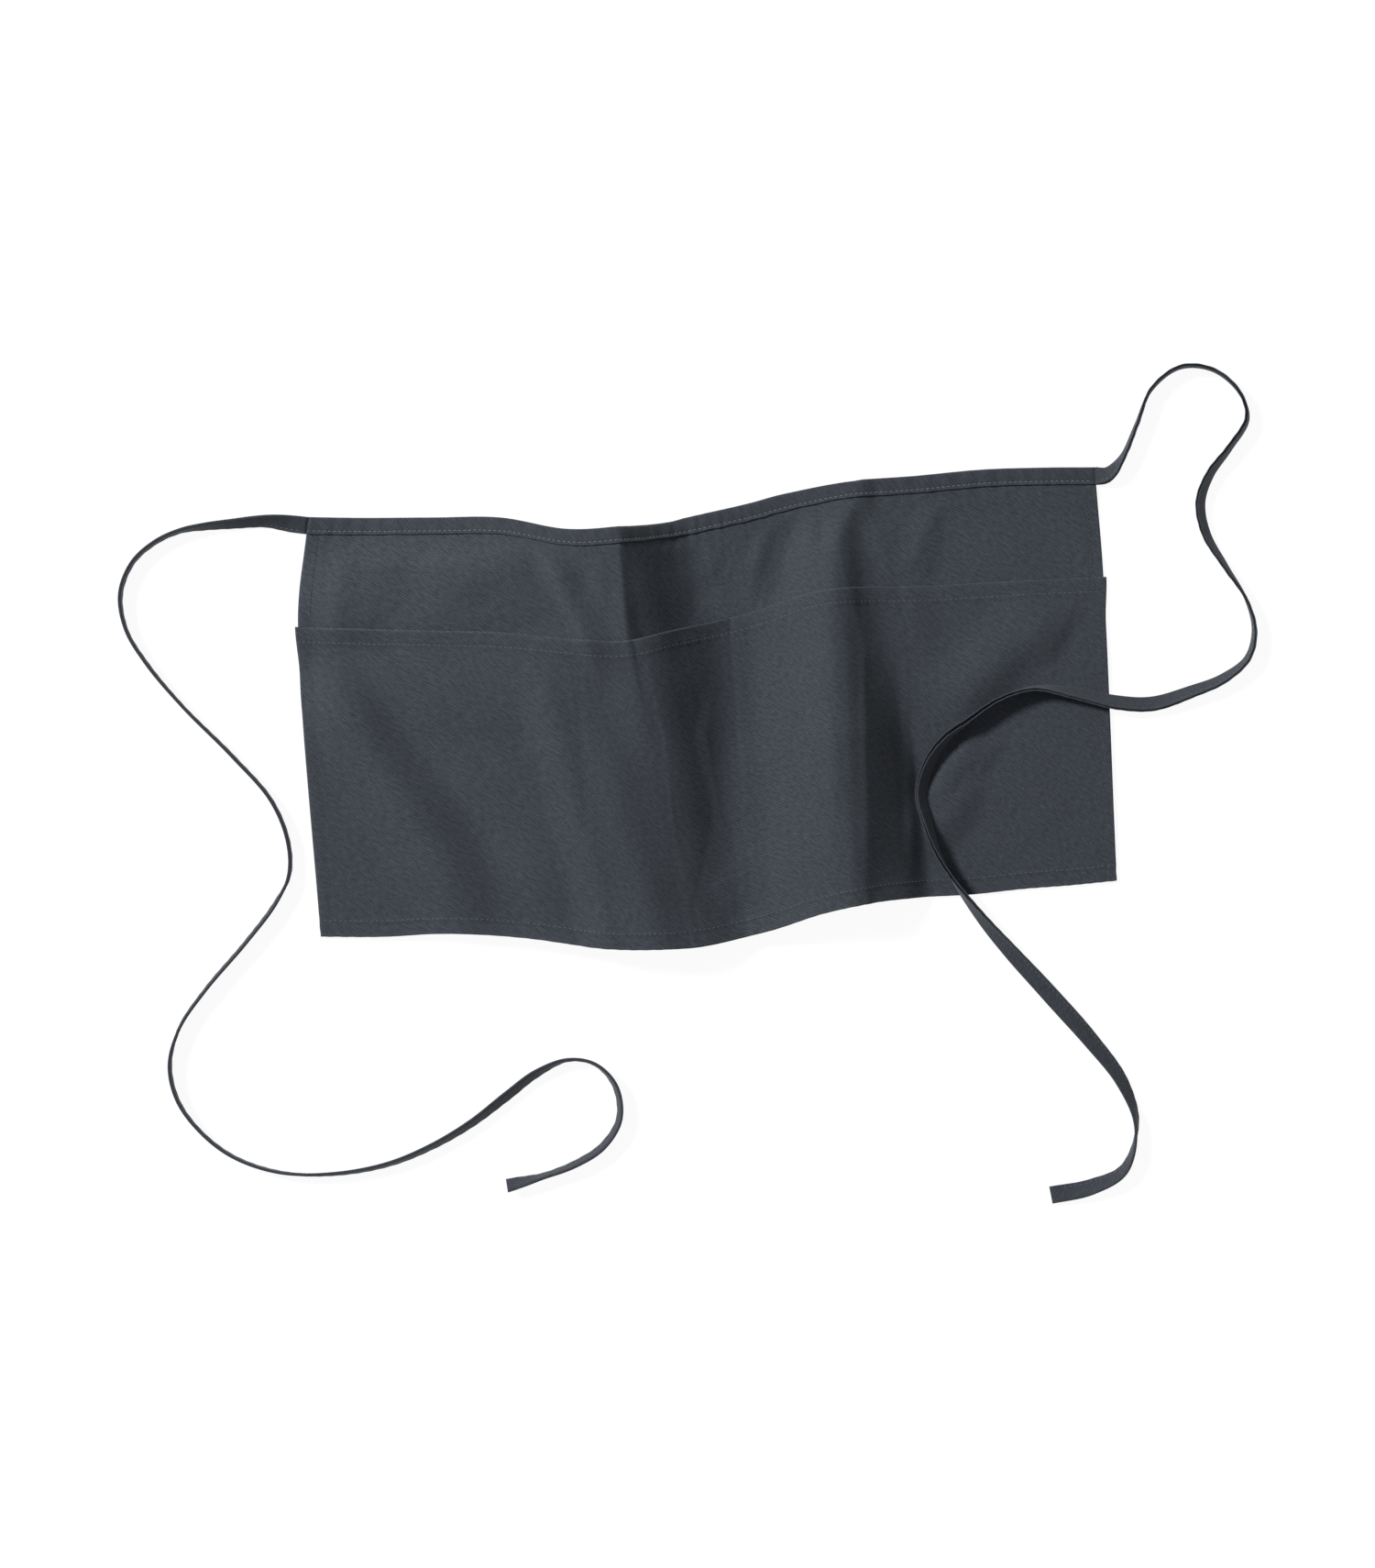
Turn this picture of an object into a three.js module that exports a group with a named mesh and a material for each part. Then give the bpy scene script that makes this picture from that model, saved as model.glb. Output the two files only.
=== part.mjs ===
// A charcoal twill waist apron with three pockets, laid out on a flat surface with its ties loose.
// Millimetres, +Z up. The origin is on the surface, under the middle of the apron without its ties.
// +X runs to the right hand side of the picture and +Y towards its waistband.

import * as THREE from 'three';

// Driving sizes of the laid apron.
const spread = 598;
const drop = 305;
const foldHeight = 50;
const clothWall = 1.0;
const hemWall = 1.6;
const hemDepth = 12;
const tapeWidth = 12.7;
const tapeWall = 1.0;
const tieThickness = 2.2;
const clearance = 0.45;
const slotClearance = 0.6;
const tieRest = 0.2;

// Finish of the cloth and of the tape.
const clothColour = 0x454a50;
const pocketColour = 0x40454b;
const tapeColour = 0x3d4148;
const clothRoughness = 0.95;

// How finely the sheets and the ties are cut into flat faces.
const widePitch = 0.03;
const finePitch = 0.0115;
const bodyRows = 6;
const pocketRows = 16;
const tieSteps = 80;

// Lines of the cloth's grain from the waistband over the pocket mouth to the bottom hem. Places across
// are shares of spread from the outline's left end, places down are shares of drop from its highest edge.
const grainLines = [
  { top: 0.013, topDown: 0.119, mouth: 0.000, mouthDown: 0.382, bottom: 0.028, bottomDown: 1.123 },
  { top: 0.086, topDown: 0.121, mouth: 0.076, mouthDown: 0.387, bottom: 0.106, bottomDown: 1.123 },
  { top: 0.168, topDown: 0.121, mouth: 0.166, mouthDown: 0.393, bottom: 0.194, bottomDown: 1.114 },
  { top: 0.250, topDown: 0.123, mouth: 0.250, mouthDown: 0.398, bottom: 0.281, bottomDown: 1.125 },
  { top: 0.329, topDown: 0.154, mouth: 0.339, mouthDown: 0.415, bottom: 0.367, bottomDown: 1.147 },
  { top: 0.394, topDown: 0.147, mouth: 0.401, mouthDown: 0.420, bottom: 0.433, bottomDown: 1.150 },
  { top: 0.451, topDown: 0.130, mouth: 0.459, mouthDown: 0.393, bottom: 0.496, bottomDown: 1.143 },
  { top: 0.505, topDown: 0.108, mouth: 0.523, mouthDown: 0.363, bottom: 0.571, bottomDown: 1.110 },
  { top: 0.552, topDown: 0.088, mouth: 0.577, mouthDown: 0.334, bottom: 0.638, bottomDown: 1.066 },
  { top: 0.596, topDown: 0.066, mouth: 0.624, mouthDown: 0.303, bottom: 0.698, bottomDown: 1.040 },
  { top: 0.672, topDown: 0.035, mouth: 0.689, mouthDown: 0.288, bottom: 0.758, bottomDown: 1.029 },
  { top: 0.756, topDown: 0.020, mouth: 0.767, mouthDown: 0.284, bottom: 0.823, bottomDown: 1.022 },
  { top: 0.837, topDown: 0.004, mouth: 0.845, mouthDown: 0.275, bottom: 0.885, bottomDown: 1.009 },
  { top: 0.907, topDown: 0.000, mouth: 0.918, mouthDown: 0.268, bottom: 0.944, bottomDown: 1.000 },
  { top: 0.973, topDown: 0.000, mouth: 0.984, mouthDown: 0.262, bottom: 1.000, bottomDown: 0.989 },
];
const lowestDown = 1.150;

// Where the pocket mouth crosses a grain line, as a share of that line, and the share of the pocket
// under it whose panel can stand off the body before the bottom seam holds it down.
const mouthAlong = 0.263;
const looseShare = 0.75;

// Each fold is a ridge with a long rise on its left and a short fall on its right. A row gives it at one
// place down. Crest, rise and fall are shares of spread, height is a share of foldHeight.
const bodyMiddleFold = [
  { down: 0.02, crest: 0.373, rise: 0.340, fall: 0.070, height: 0.76 },
  { down: 0.20, crest: 0.382, rise: 0.378, fall: 0.112, height: 1.00 },
  { down: 0.42, crest: 0.383, rise: 0.379, fall: 0.137, height: 1.00 },
  { down: 0.64, crest: 0.430, rise: 0.426, fall: 0.067, height: 0.69 },
  { down: 0.86, crest: 0.458, rise: 0.454, fall: 0.061, height: 0.41 },
  { down: 1.15, crest: 0.485, rise: 0.481, fall: 0.072, height: 0.58 },
];
const pocketMiddleFold = [
  { down: 0.40, crest: 0.418, rise: 0.414, fall: 0.110, height: 1.00 },
  { down: 0.64, crest: 0.447, rise: 0.443, fall: 0.089, height: 0.72 },
  { down: 0.86, crest: 0.459, rise: 0.455, fall: 0.085, height: 0.61 },
  { down: 1.15, crest: 0.490, rise: 0.486, fall: 0.073, height: 0.48 },
];
const rightFold = [
  { down: 0.02, crest: 0.693, rise: 0.100, fall: 0.018, height: 0.08 },
  { down: 0.18, crest: 0.657, rise: 0.115, fall: 0.066, height: 0.28 },
  { down: 0.42, crest: 0.687, rise: 0.227, fall: 0.060, height: 0.50 },
  { down: 0.64, crest: 0.688, rise: 0.181, fall: 0.058, height: 0.94 },
  { down: 0.86, crest: 0.691, rise: 0.186, fall: 0.069, height: 1.00 },
  { down: 1.08, crest: 0.689, rise: 0.209, fall: 0.091, height: 0.90 },
];

// How straight a fold's sides are, from 0 for an S curve to 1 for a straight slope.
const sideStraightness = 0.45;

// Soft creases along straight lines from one place to another, both in shares. The widths on each side
// and the height are in millimetres, and a height below zero is a hollow.
const creases = [
  { from: 0.015, fromDown: 0.263, to: -0.050, toDown: 0.829, left: 42, right: 13, height: -4.0 },
  { from: -0.012, fromDown: 0.367, to: 0.180, toDown: 0.148, left: 44, right: 44, height: 8.3 },
  { from: -0.009, fromDown: 0.387, to: 0.256, toDown: 1.189, left: 40, right: 38, height: 15.0 },
  { from: -0.013, fromDown: 0.385, to: 0.360, toDown: 0.309, left: 37, right: 28, height: 6.6 },
  { from: 0.097, fromDown: 0.389, to: 0.268, toDown: 0.703, left: 42, right: 12, height: 5.8 },
  { from: 0.190, fromDown: 0.086, to: 0.217, toDown: 0.350, left: 35, right: 34, height: 4.5 },
  { from: 0.130, fromDown: 0.239, to: 0.302, toDown: 0.218, left: 20, right: 38, height: 8.4 },
  { from: 0.275, fromDown: 0.156, to: 0.412, toDown: 0.735, left: 18, right: 8, height: 6.1 },
  { from: 0.300, fromDown: 0.420, to: 0.410, toDown: 1.300, left: 46, right: 30, height: 10.0 },
  { from: 0.367, fromDown: 0.545, to: 0.472, toDown: 1.326, left: 29, right: 33, height: 8.5 },
  { from: 0.549, fromDown: 0.172, to: 0.590, toDown: 1.194, left: 49, right: 23, height: -5.5 },
  { from: 0.611, fromDown: 0.042, to: 0.570, toDown: 0.381, left: 19, right: 19, height: -6.1 },
  { from: 0.652, fromDown: 0.011, to: 0.645, toDown: 1.032, left: 23, right: 34, height: 8.2 },
  { from: 0.697, fromDown: 0.223, to: 0.706, toDown: 1.219, left: 28, right: 20, height: -9.0 },
  { from: 0.693, fromDown: 0.016, to: 0.777, toDown: 0.609, left: 35, right: 26, height: 5.1 },
  { from: 0.782, fromDown: 0.033, to: 0.760, toDown: 0.292, left: 17, right: 22, height: 4.1 },
  { from: 0.882, fromDown: 0.639, to: 0.741, toDown: 0.943, left: 29, right: 33, height: 6.9 },
  { from: 0.940, fromDown: 0.289, to: 0.776, toDown: 0.627, left: 32, right: 42, height: 7.5 },
  { from: 1.005, fromDown: 0.575, to: 0.789, toDown: 0.795, left: 37, right: 19, height: -6.1 },
];
// Share of a crease's length over which each end fades out.
const creaseFade = 0.3;

// Highest the folds and creases may add up to, and how softly they ease into it and down to the floor.
const crestLimit = foldHeight + 5;
const crestEase = 5;
const floorEase = 1.5;

// Columns of a sheet are closer together where a fold falls steeply. Places are counted in grain lines.
const steepZones = [
  { from: 4.9, to: 7.1 },
  { from: 9.5, to: 11.2 },
];

// Routes of the two ties by hand: x and y, the lift of the lower edge above the surface, all in
// millimetres, and the roll of the tape in degrees, which is 0 flat, 90 on its edge and 180 flat again.
const leftRoute = [
  [-293, 133, 0.8, 0], [-302, 134, 0.4, 30], [-321, 136, 0.0, 58], [-347, 134, 0.0, 66],
  [-367, 132, 0.0, 75], [-384, 129, 0.0, 86], [-402, 121, 0.0, 88], [-419, 106, 0.0, 90],
  [-428, 83, 0.0, 90], [-424, 57, 0.0, 92], [-409, 32, 0.0, 90], [-383, 1, 0.0, 92],
  [-346, -36, 0.0, 90], [-318, -68, 0.0, 90], [-306, -97, 0.0, 90], [-305, -122, 0.0, 90],
  [-315, -143, 0.0, 100], [-337, -172, 0.0, 98], [-366, -206, 0.0, 97], [-385, -234, 0.0, 96],
  [-392, -260, 0.0, 91], [-387, -285, 0.0, 92], [-372, -307, 0.0, 94], [-347, -327, 0.0, 93],
  [-312, -339, 0.0, 93], [-272, -340, 0.0, 99], [-233, -333, 0.0, 103], [-201, -320, 0.0, 107],
  [-172, -303, 0.0, 112], [-146, -283, 0.0, 118], [-125, -267, 0.0, 114], [-102, -257, 0.0, 96],
  [-82, -260, 0.0, 96], [-67, -276, 0.0, 104], [-64, -300, 0.0, 104], [-76, -320, 0.0, 106],
  [-96, -333, 0.0, 104], [-120, -342, 0.0, 98], [-146, -349, 0.0, 132],
];
const rightRoute = [
  [284.3, 169, 0.8, 0], [292, 170, 0.8, 30], [303, 183, 0.0, 76], [313, 206, 0.0, 88],
  [324, 232, 0.0, 96], [345, 248, 0.0, 93], [369, 246, 0.0, 87], [388, 230, 0.0, 84],
  [394, 211, 0.0, 76], [381, 189, 0.0, 74], [367, 170, 0.0, 64], [360, 150, 0.0, 56],
  [364, 127, 0.0, 58], [378, 103, 0.0, 70], [393, 79, 0.0, 84], [399, 56, 0.0, 92],
  [394, 36, 0.0, 100], [376, 21, 0.0, 118], [354, 12, 0.0, 128], [325, 3, 0.0, 142],
  [298, 4, 2.9, 140], [266, 11, 3.0, 128], [238, 14, 3.6, 106], [213, 6, 5.3, 84],
  [190, -10, 4.7, 68], [174, -23, 3.1, 58], [162, -41, 3.2, 50], [156, -63, 4.5, 48],
  [161, -86, 7.7, 58], [169, -108, 4.7, 76], [180, -127, 4.1, 92], [201, -155, 0.6, 120],
  [222, -179, 0.0, 144], [248, -207, 0.2, 166], [280, -243, 0.0, 154], [303, -274, 0.0, 132],
  [313, -305, 0.0, 98], [304, -337, 0.0, 118], [280, -350, 0.0, 150], [251, -356, 0.0, 172],
];

const farLeft = -spread / 2;
const highest = (lowestDown * drop) / 2;
const mix = THREE.MathUtils.lerp;
const easeIn = (share) => THREE.MathUtils.smoothstep(share, 0, 1);

// Value of a table's column at a place, straight between the rows around it.
function columnAt(rows, key, place, column) {
  let next = rows.findIndex((row) => row[key] > place);
  if (next === -1) next = rows.length - 1;
  if (next === 0) next = 1;
  const before = rows[next - 1];
  const after = rows[next];
  const share = THREE.MathUtils.clamp((place - before[key]) / (after[key] - before[key]), 0, 1);
  return mix(before[column], after[column], share);
}

// Smooth curve through one place column and one down column of the grain lines.
function edgeCurve(acrossColumn, downColumn) {
  const points = grainLines.map((line) => new THREE.Vector3(line[acrossColumn], line[downColumn], 0));
  return new THREE.CatmullRomCurve3(points, false, 'catmullrom', 0.5);
}
const topEdge = edgeCurve('top', 'topDown');
const mouthEdge = edgeCurve('mouth', 'mouthDown');
const bottomEdge = edgeCurve('bottom', 'bottomDown');

// Place in plan of a point of the cloth: across runs 0 to 1 over the grain lines, along 0 to 1 down one.
function planShares(across, along) {
  const top = topEdge.getPoint(across);
  const mouth = mouthEdge.getPoint(across);
  const bottom = bottomEdge.getPoint(across);
  const overall = bottom.clone().sub(top);
  const upper = mouth.clone().sub(top).divideScalar(mouthAlong);
  const lower = bottom.clone().sub(mouth).divideScalar(1 - mouthAlong);
  if (along <= mouthAlong) return hermite(top, upper, mouth, overall, along / mouthAlong, mouthAlong);
  return hermite(mouth, overall, bottom, lower, (along - mouthAlong) / (1 - mouthAlong), 1 - mouthAlong);
}

function hermite(start, startSlope, end, endSlope, share, stretch) {
  const square = share * share;
  const cube = square * share;
  return new THREE.Vector3()
    .addScaledVector(start, 2 * cube - 3 * square + 1)
    .addScaledVector(startSlope, (cube - 2 * square + share) * stretch)
    .addScaledVector(end, 3 * square - 2 * cube)
    .addScaledVector(endSlope, (cube - square) * stretch);
}

// Height of one fold over a place given in shares. Its crest is crisp and its sides are steep.
function foldHeightAt(fold, place, down) {
  const crest = columnAt(fold, 'down', down, 'crest');
  const rise = columnAt(fold, 'down', down, 'rise');
  const fall = columnAt(fold, 'down', down, 'fall');
  const height = columnAt(fold, 'down', down, 'height') * foldHeight;
  const away = place < crest ? (crest - place) / rise : (place - crest) / fall;
  if (away >= 1) return 0;
  return height * (1 - mix(easeIn(away), away, sideStraightness));
}

// Height of one crease: round across its line, and fading out at both ends.
function creaseHeightAt(crease, place, down) {
  const { from, fromDown, to, toDown } = crease;
  const line = new THREE.Vector2((to - from) * spread, (toDown - fromDown) * drop);
  const here = new THREE.Vector2((place - from) * spread, (down - fromDown) * drop);
  const length = line.length();
  line.normalize();
  const share = here.dot(line) / length;
  const aside = here.cross(line);
  const width = aside > 0 ? crease.left : crease.right;
  const ends = easeIn(Math.min(share, 1 - share) / creaseFade);
  return crease.height * ends * (1 - easeIn(Math.abs(aside) / width));
}

// Keeps a height over the floor and under the highest crest, without a sharp bend.
function easedLimits(height) {
  const risen = THREE.MathUtils.clamp(height / (2 * floorEase), 0, 1);
  const above = risen < 1 ? floorEase * risen * risen : height - floorEase;
  const room = crestLimit - above;
  return crestLimit - (room + Math.hypot(room, crestEase)) / 2;
}

// Heights of the cloth's upper side. The body is lifted a little where the tape passes under it.
function bodyHeight(place, down, along) {
  const folds = foldHeightAt(bodyMiddleFold, place, down) + foldHeightAt(rightFold, place, down);
  const soft = creases.reduce((sum, crease) => sum + creaseHeightAt(crease, place, down), 0);
  const belowTape = along * drop - tapeWidth;
  const tapeLift = (tapeWall + slotClearance) * (1 - easeIn(belowTape / (2 * tapeWidth)));
  return hemWall + easedLimits(folds + soft * easeIn(belowTape / (2 * tapeWidth))) + tapeLift;
}

// How far the pocket panel stands off the body at its own, later fold.
function pocketLift(place, down, along) {
  const own = foldHeightAt(pocketMiddleFold, place, down);
  const under = foldHeightAt(bodyMiddleFold, place, down);
  const belowMouth = (along - mouthAlong) / (1 - mouthAlong);
  const sewnTogether = easeIn((belowMouth - looseShare) / (1 - looseShare));
  return Math.max(0, own - under) * (1 - sewnTogether);
}

// Upper side of the body as a point in space.
function bodyPoint(across, along) {
  const { x: place, y: down } = planShares(across, along);
  return new THREE.Vector3(farLeft + place * spread, highest - down * drop, bodyHeight(place, down, along));
}

// A surface's outward direction at a place, from the points close on both sides of it.
function normalOf(surface, across, along) {
  const step = 0.002;
  const right = surface(Math.min(1, across + step), along).sub(surface(Math.max(0, across - step), along));
  const below = surface(across, Math.min(1, along + step)).sub(surface(across, Math.max(0, along - step)));
  return below.cross(right).normalize();
}

// Places of the sheets' columns from left to right.
function sheetColumns() {
  const lastLine = grainLines.length - 1;
  const places = [0];
  while (places[places.length - 1] < 1) {
    const here = places[places.length - 1];
    const steep = steepZones.some((zone) => here * lastLine >= zone.from && here * lastLine < zone.to);
    places.push(here + (steep ? finePitch : widePitch));
  }
  const end = places[places.length - 1];
  return places.map((place) => place / end);
}

// Evenly spaced places from one to another.
function between(start, end, steps) {
  return Array.from({ length: steps + 1 }, (_, index) => mix(start, end, index / steps));
}

// Closed solid from two grids of points, the upper and the lower side of a sheet.
function sheetSolid(upper, lower) {
  const rows = upper.length;
  const columns = upper[0].length;
  const points = [...upper.flat(), ...lower.flat()];
  const at = (side, row, column) => side * rows * columns + row * columns + column;
  const faces = [];
  const quad = (a, b, c, d) => faces.push(a, b, c, a, c, d);
  for (let row = 0; row < rows - 1; row += 1) {
    for (let column = 0; column < columns - 1; column += 1) {
      quad(at(0, row, column), at(0, row + 1, column), at(0, row + 1, column + 1), at(0, row, column + 1));
      quad(at(1, row, column), at(1, row, column + 1), at(1, row + 1, column + 1), at(1, row + 1, column));
    }
    const last = columns - 1;
    quad(at(0, row, 0), at(1, row, 0), at(1, row + 1, 0), at(0, row + 1, 0));
    quad(at(0, row, last), at(0, row + 1, last), at(1, row + 1, last), at(1, row, last));
  }
  for (let column = 0; column < columns - 1; column += 1) {
    const last = rows - 1;
    quad(at(0, 0, column), at(0, 0, column + 1), at(1, 0, column + 1), at(1, 0, column));
    quad(at(0, last, column), at(1, last, column), at(1, last, column + 1), at(0, last, column + 1));
  }
  return closedGeometry(points, faces);
}

// Closed solid through a row of outlines with the same number of points each.
function loftSolid(outlines, flatOutline) {
  const count = flatOutline.length;
  const faces = [];
  for (let step = 0; step < outlines.length - 1; step += 1) {
    for (let corner = 0; corner < count; corner += 1) {
      const next = (corner + 1) % count;
      const here = step * count;
      const ahead = here + count;
      faces.push(here + corner, here + next, ahead + next, here + corner, ahead + next, ahead + corner);
    }
  }
  const last = (outlines.length - 1) * count;
  for (const [a, b, c] of THREE.ShapeUtils.triangulateShape(flatOutline, [])) {
    faces.push(a, c, b, last + a, last + b, last + c);
  }
  return closedGeometry(outlines.flat(), faces);
}

function closedGeometry(points, faces) {
  const geometry = new THREE.BufferGeometry();
  geometry.setAttribute('position', new THREE.Float32BufferAttribute(points.flatMap((p) => p.toArray()), 3));
  geometry.setIndex(faces);
  geometry.computeVertexNormals();
  return geometry;
}

function named(name, geometry, colour) {
  const look = { color: colour, roughness: clothRoughness, metalness: 0 };
  const material = new THREE.MeshStandardMaterial(look);
  const mesh = new THREE.Mesh(geometry, material);
  mesh.name = name;
  return mesh;
}

const columns = sheetColumns();
const tapeAlong = tapeWidth / drop;
const edgeAlong = (tapeWall + slotClearance) / drop;

// The straight top strip of the cloth inside the tape: a point on its upper side at the tape's lower
// edge, the way up the cloth, and the way out of it.
function stripFrame(across) {
  const foot = bodyPoint(across, tapeAlong);
  const up = bodyPoint(across, edgeAlong).sub(foot).normalize();
  const out = normalOf(bodyPoint, across, tapeAlong);
  out.addScaledVector(up, -out.dot(up)).normalize();
  return { foot, up, out };
}

// The body panel: its hems at the sides and at the bottom are thicker on the underside.
function bodyWall(across, along) {
  const hemAcross = hemDepth / spread;
  const hemAlong = hemDepth / drop;
  const nearEdge = Math.min(across / hemAcross, (1 - across) / hemAcross, (1 - along) / hemAlong);
  return mix(hemWall, clothWall, easeIn(nearEdge - 1));
}

function apronBody() {
  const strip = columns.map(stripFrame);
  const insideTape = tapeWidth - tapeWall - slotClearance;
  const rows = [...between(tapeAlong, mouthAlong, bodyRows - 1).slice(1), ...pocketStations().slice(1)];
  const upper = [
    strip.map(({ foot, up }) => foot.clone().addScaledVector(up, insideTape)),
    strip.map(({ foot }) => foot),
    ...rows.map((along) => columns.map((across) => bodyPoint(across, along))),
  ];
  const stripWalls = columns.map((across) => bodyWall(across, tapeAlong));
  const stripUnderside = (row) => row.map((p, i) => p.clone().addScaledVector(strip[i].out, -stripWalls[i]));
  const lower = [
    stripUnderside(upper[0]),
    stripUnderside(upper[1]),
    ...rows.map((along) => columns.map((across) => {
      const inward = normalOf(bodyPoint, across, along);
      return bodyPoint(across, along).addScaledVector(inward, -bodyWall(across, along));
    })),
  ];
  return named('apron_body', sheetSolid(upper, lower), clothColour);
}

// Rows shared by the body and the pocket panel from the mouth to the bottom edge.
function pocketStations() {
  const hemAlong = hemDepth / drop;
  return [...between(mouthAlong, 1 - hemAlong, pocketRows - 2), 1];
}

// Underside of the pocket panel, clear of the body and off it at the middle pocket's mouth.
function pocketUnderside(across, along) {
  const { x: place, y: down } = planShares(across, along);
  const under = bodyPoint(across, along).addScaledVector(normalOf(bodyPoint, across, along), clearance);
  under.z += pocketLift(place, down, along);
  return under;
}

function pocketPanel() {
  const rows = pocketStations();
  const lower = rows.map((along) => columns.map((across) => pocketUnderside(across, along)));
  const upper = rows.map((along) => columns.map((across) => {
    const outward = normalOf(pocketUnderside, across, along);
    return pocketUnderside(across, along).addScaledVector(outward, clothWall);
  }));
  return named('pocket_panel', sheetSolid(upper, lower), pocketColour);
}

// The folded tape's outline around the body's edge. In it x runs up the cloth and y out of the cloth's
// upper side, and the slot between its two leaves holds the side hems, the thickest part of that edge.
function waistbandOutline() {
  const bevel = tapeWall * 0.8;
  const slotFront = slotClearance;
  const slotBack = -(hemWall + slotClearance);
  const front = slotFront + tapeWall;
  const back = slotBack - tapeWall;
  return [
    [0, slotFront], [tapeWidth - tapeWall, slotFront], [tapeWidth - tapeWall, slotBack], [0, slotBack],
    [0, back], [tapeWidth - bevel, back], [tapeWidth, back + bevel],
    [tapeWidth, front - bevel], [tapeWidth - bevel, front], [0, front],
  ].map(([up, out]) => new THREE.Vector2(up, out));
}

// The tape clasps the body's top edge: its section stands in the frame of the cloth's top strip.
function waistband() {
  const outline = waistbandOutline();
  const outlines = columns.map((across) => {
    const { foot, up, out } = stripFrame(across);
    const place = (corner) => foot.clone().addScaledVector(up, corner.x).addScaledVector(out, corner.y);
    return outline.map(place);
  });
  return named('waistband', loftSolid(outlines, outline), tapeColour);
}

// Outline of a tie's section: a flat tape with eased edges, its width along x.
function tieOutline() {
  const half = tapeWidth / 2;
  const thick = tieThickness / 2;
  const ease = tieThickness * 0.3;
  return [
    [half, thick - ease], [half - ease, thick], [ease - half, thick], [-half, thick - ease],
    [-half, ease - thick], [ease - half, -thick], [half - ease, -thick], [half, ease - thick],
  ].map(([wide, out]) => new THREE.Vector2(wide, out));
}

// A tie along its route. It turns about its own line by its roll, and rests on its lower edge.
function tie(name, route) {
  const outline = tieOutline();
  const points = route.map(([x, y, lift, roll]) => {
    const turn = THREE.MathUtils.degToRad(roll);
    const halfRise = (tapeWidth / 2) * Math.sin(turn) + (tieThickness / 2) * Math.abs(Math.cos(turn));
    return new THREE.Vector3(x, y, tieRest + lift + halfRise);
  });
  const path = new THREE.CatmullRomCurve3(points, false, 'centripetal');
  const up = new THREE.Vector3(0, 0, 1);
  path.arcLengthDivisions = tieSteps * 12;
  const outlines = between(0, 1, tieSteps).map((share) => {
    const along = path.getUtoTmapping(share) * (route.length - 1);
    const before = Math.min(Math.floor(along), route.length - 2);
    const roll = mix(route[before][3], route[before + 1][3], along - before);
    const middle = path.getPointAt(share);
    const ahead = path.getTangentAt(share);
    const side = up.clone().cross(ahead).normalize().applyAxisAngle(ahead, -THREE.MathUtils.degToRad(roll));
    const out = ahead.clone().cross(side);
    return outline.map((c) => middle.clone().addScaledVector(side, c.x).addScaledVector(out, c.y));
  });
  return named(name, loftSolid(outlines, outline), tapeColour);
}

const apron = new THREE.Group();
apron.add(apronBody(), pocketPanel(), waistband());

// Sets the apron down on the surface with the origin under its middle.
const extent = new THREE.Box3().setFromObject(apron);
const middle = extent.getCenter(new THREE.Vector3());
apron.position.set(-middle.x, -middle.y, -extent.min.z);

const group = new THREE.Group();
group.add(apron, tie('tie_left', leftRoute), tie('tie_right', rightRoute));

export default group;
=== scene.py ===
import math

import bpy
import numpy as np
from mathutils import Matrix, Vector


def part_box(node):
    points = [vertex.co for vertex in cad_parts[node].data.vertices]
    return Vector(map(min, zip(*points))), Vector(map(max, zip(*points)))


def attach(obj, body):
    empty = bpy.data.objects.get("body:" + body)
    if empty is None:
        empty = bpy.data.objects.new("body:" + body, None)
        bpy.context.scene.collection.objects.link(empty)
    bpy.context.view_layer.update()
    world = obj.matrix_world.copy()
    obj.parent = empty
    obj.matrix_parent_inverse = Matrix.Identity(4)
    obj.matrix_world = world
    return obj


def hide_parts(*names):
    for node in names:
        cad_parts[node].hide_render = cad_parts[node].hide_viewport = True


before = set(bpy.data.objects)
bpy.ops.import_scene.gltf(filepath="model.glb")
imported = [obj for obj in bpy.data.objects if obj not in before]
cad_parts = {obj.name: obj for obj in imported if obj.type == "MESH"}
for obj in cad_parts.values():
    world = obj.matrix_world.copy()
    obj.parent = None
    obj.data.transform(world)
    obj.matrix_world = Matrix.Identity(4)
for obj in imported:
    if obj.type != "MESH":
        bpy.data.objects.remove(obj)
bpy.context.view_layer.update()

# A charcoal twill waist apron laid on a pale surface, its three pockets open and its two ties loose.
# Metres, in the row's frame: +Z up, +Y towards the waistband, +X to the right of the picture.
MM = 0.001
TURN = 2 * math.pi

# The camera looks straight down on the apron.
PHOTO_HEIGHT = 1710
METRES_PER_PIXEL = 0.00067
CAMERA_HEIGHT = 3.0
CAMERA_OVER = (-0.0144, -0.0558)
SENSOR = 36.0

camera_data = bpy.data.cameras.new("photo_camera")
camera_data.sensor_fit = "AUTO"
camera_data.sensor_width = SENSOR
camera_data.lens = CAMERA_HEIGHT / METRES_PER_PIXEL / PHOTO_HEIGHT * SENSOR
camera_data.clip_end = 50.0
camera = bpy.data.objects.new("photo_camera", camera_data)
camera.location = (*CAMERA_OVER, CAMERA_HEIGHT)
bpy.context.scene.collection.objects.link(camera)
bpy.context.scene.camera = camera

# Sizes, from the frame where it has them.
body_low, body_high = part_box("apron_body")
pocket_low, pocket_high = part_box("pocket_panel")
band_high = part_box("waistband")[1]

# The hem's lowest point lies this many drops below the waistband's highest one.
LOWEST_DOWN = 1.150
SPREAD = body_high.x - body_low.x
FAR_LEFT = body_low.x
HIGHEST = band_high.y
DROP = (band_high.y - pocket_low.y) / LOWEST_DOWN
HEM_WALL = 1.6 * MM
CLOTH_WALL = 1.0 * MM
CLEARANCE = 0.45 * MM
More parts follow.
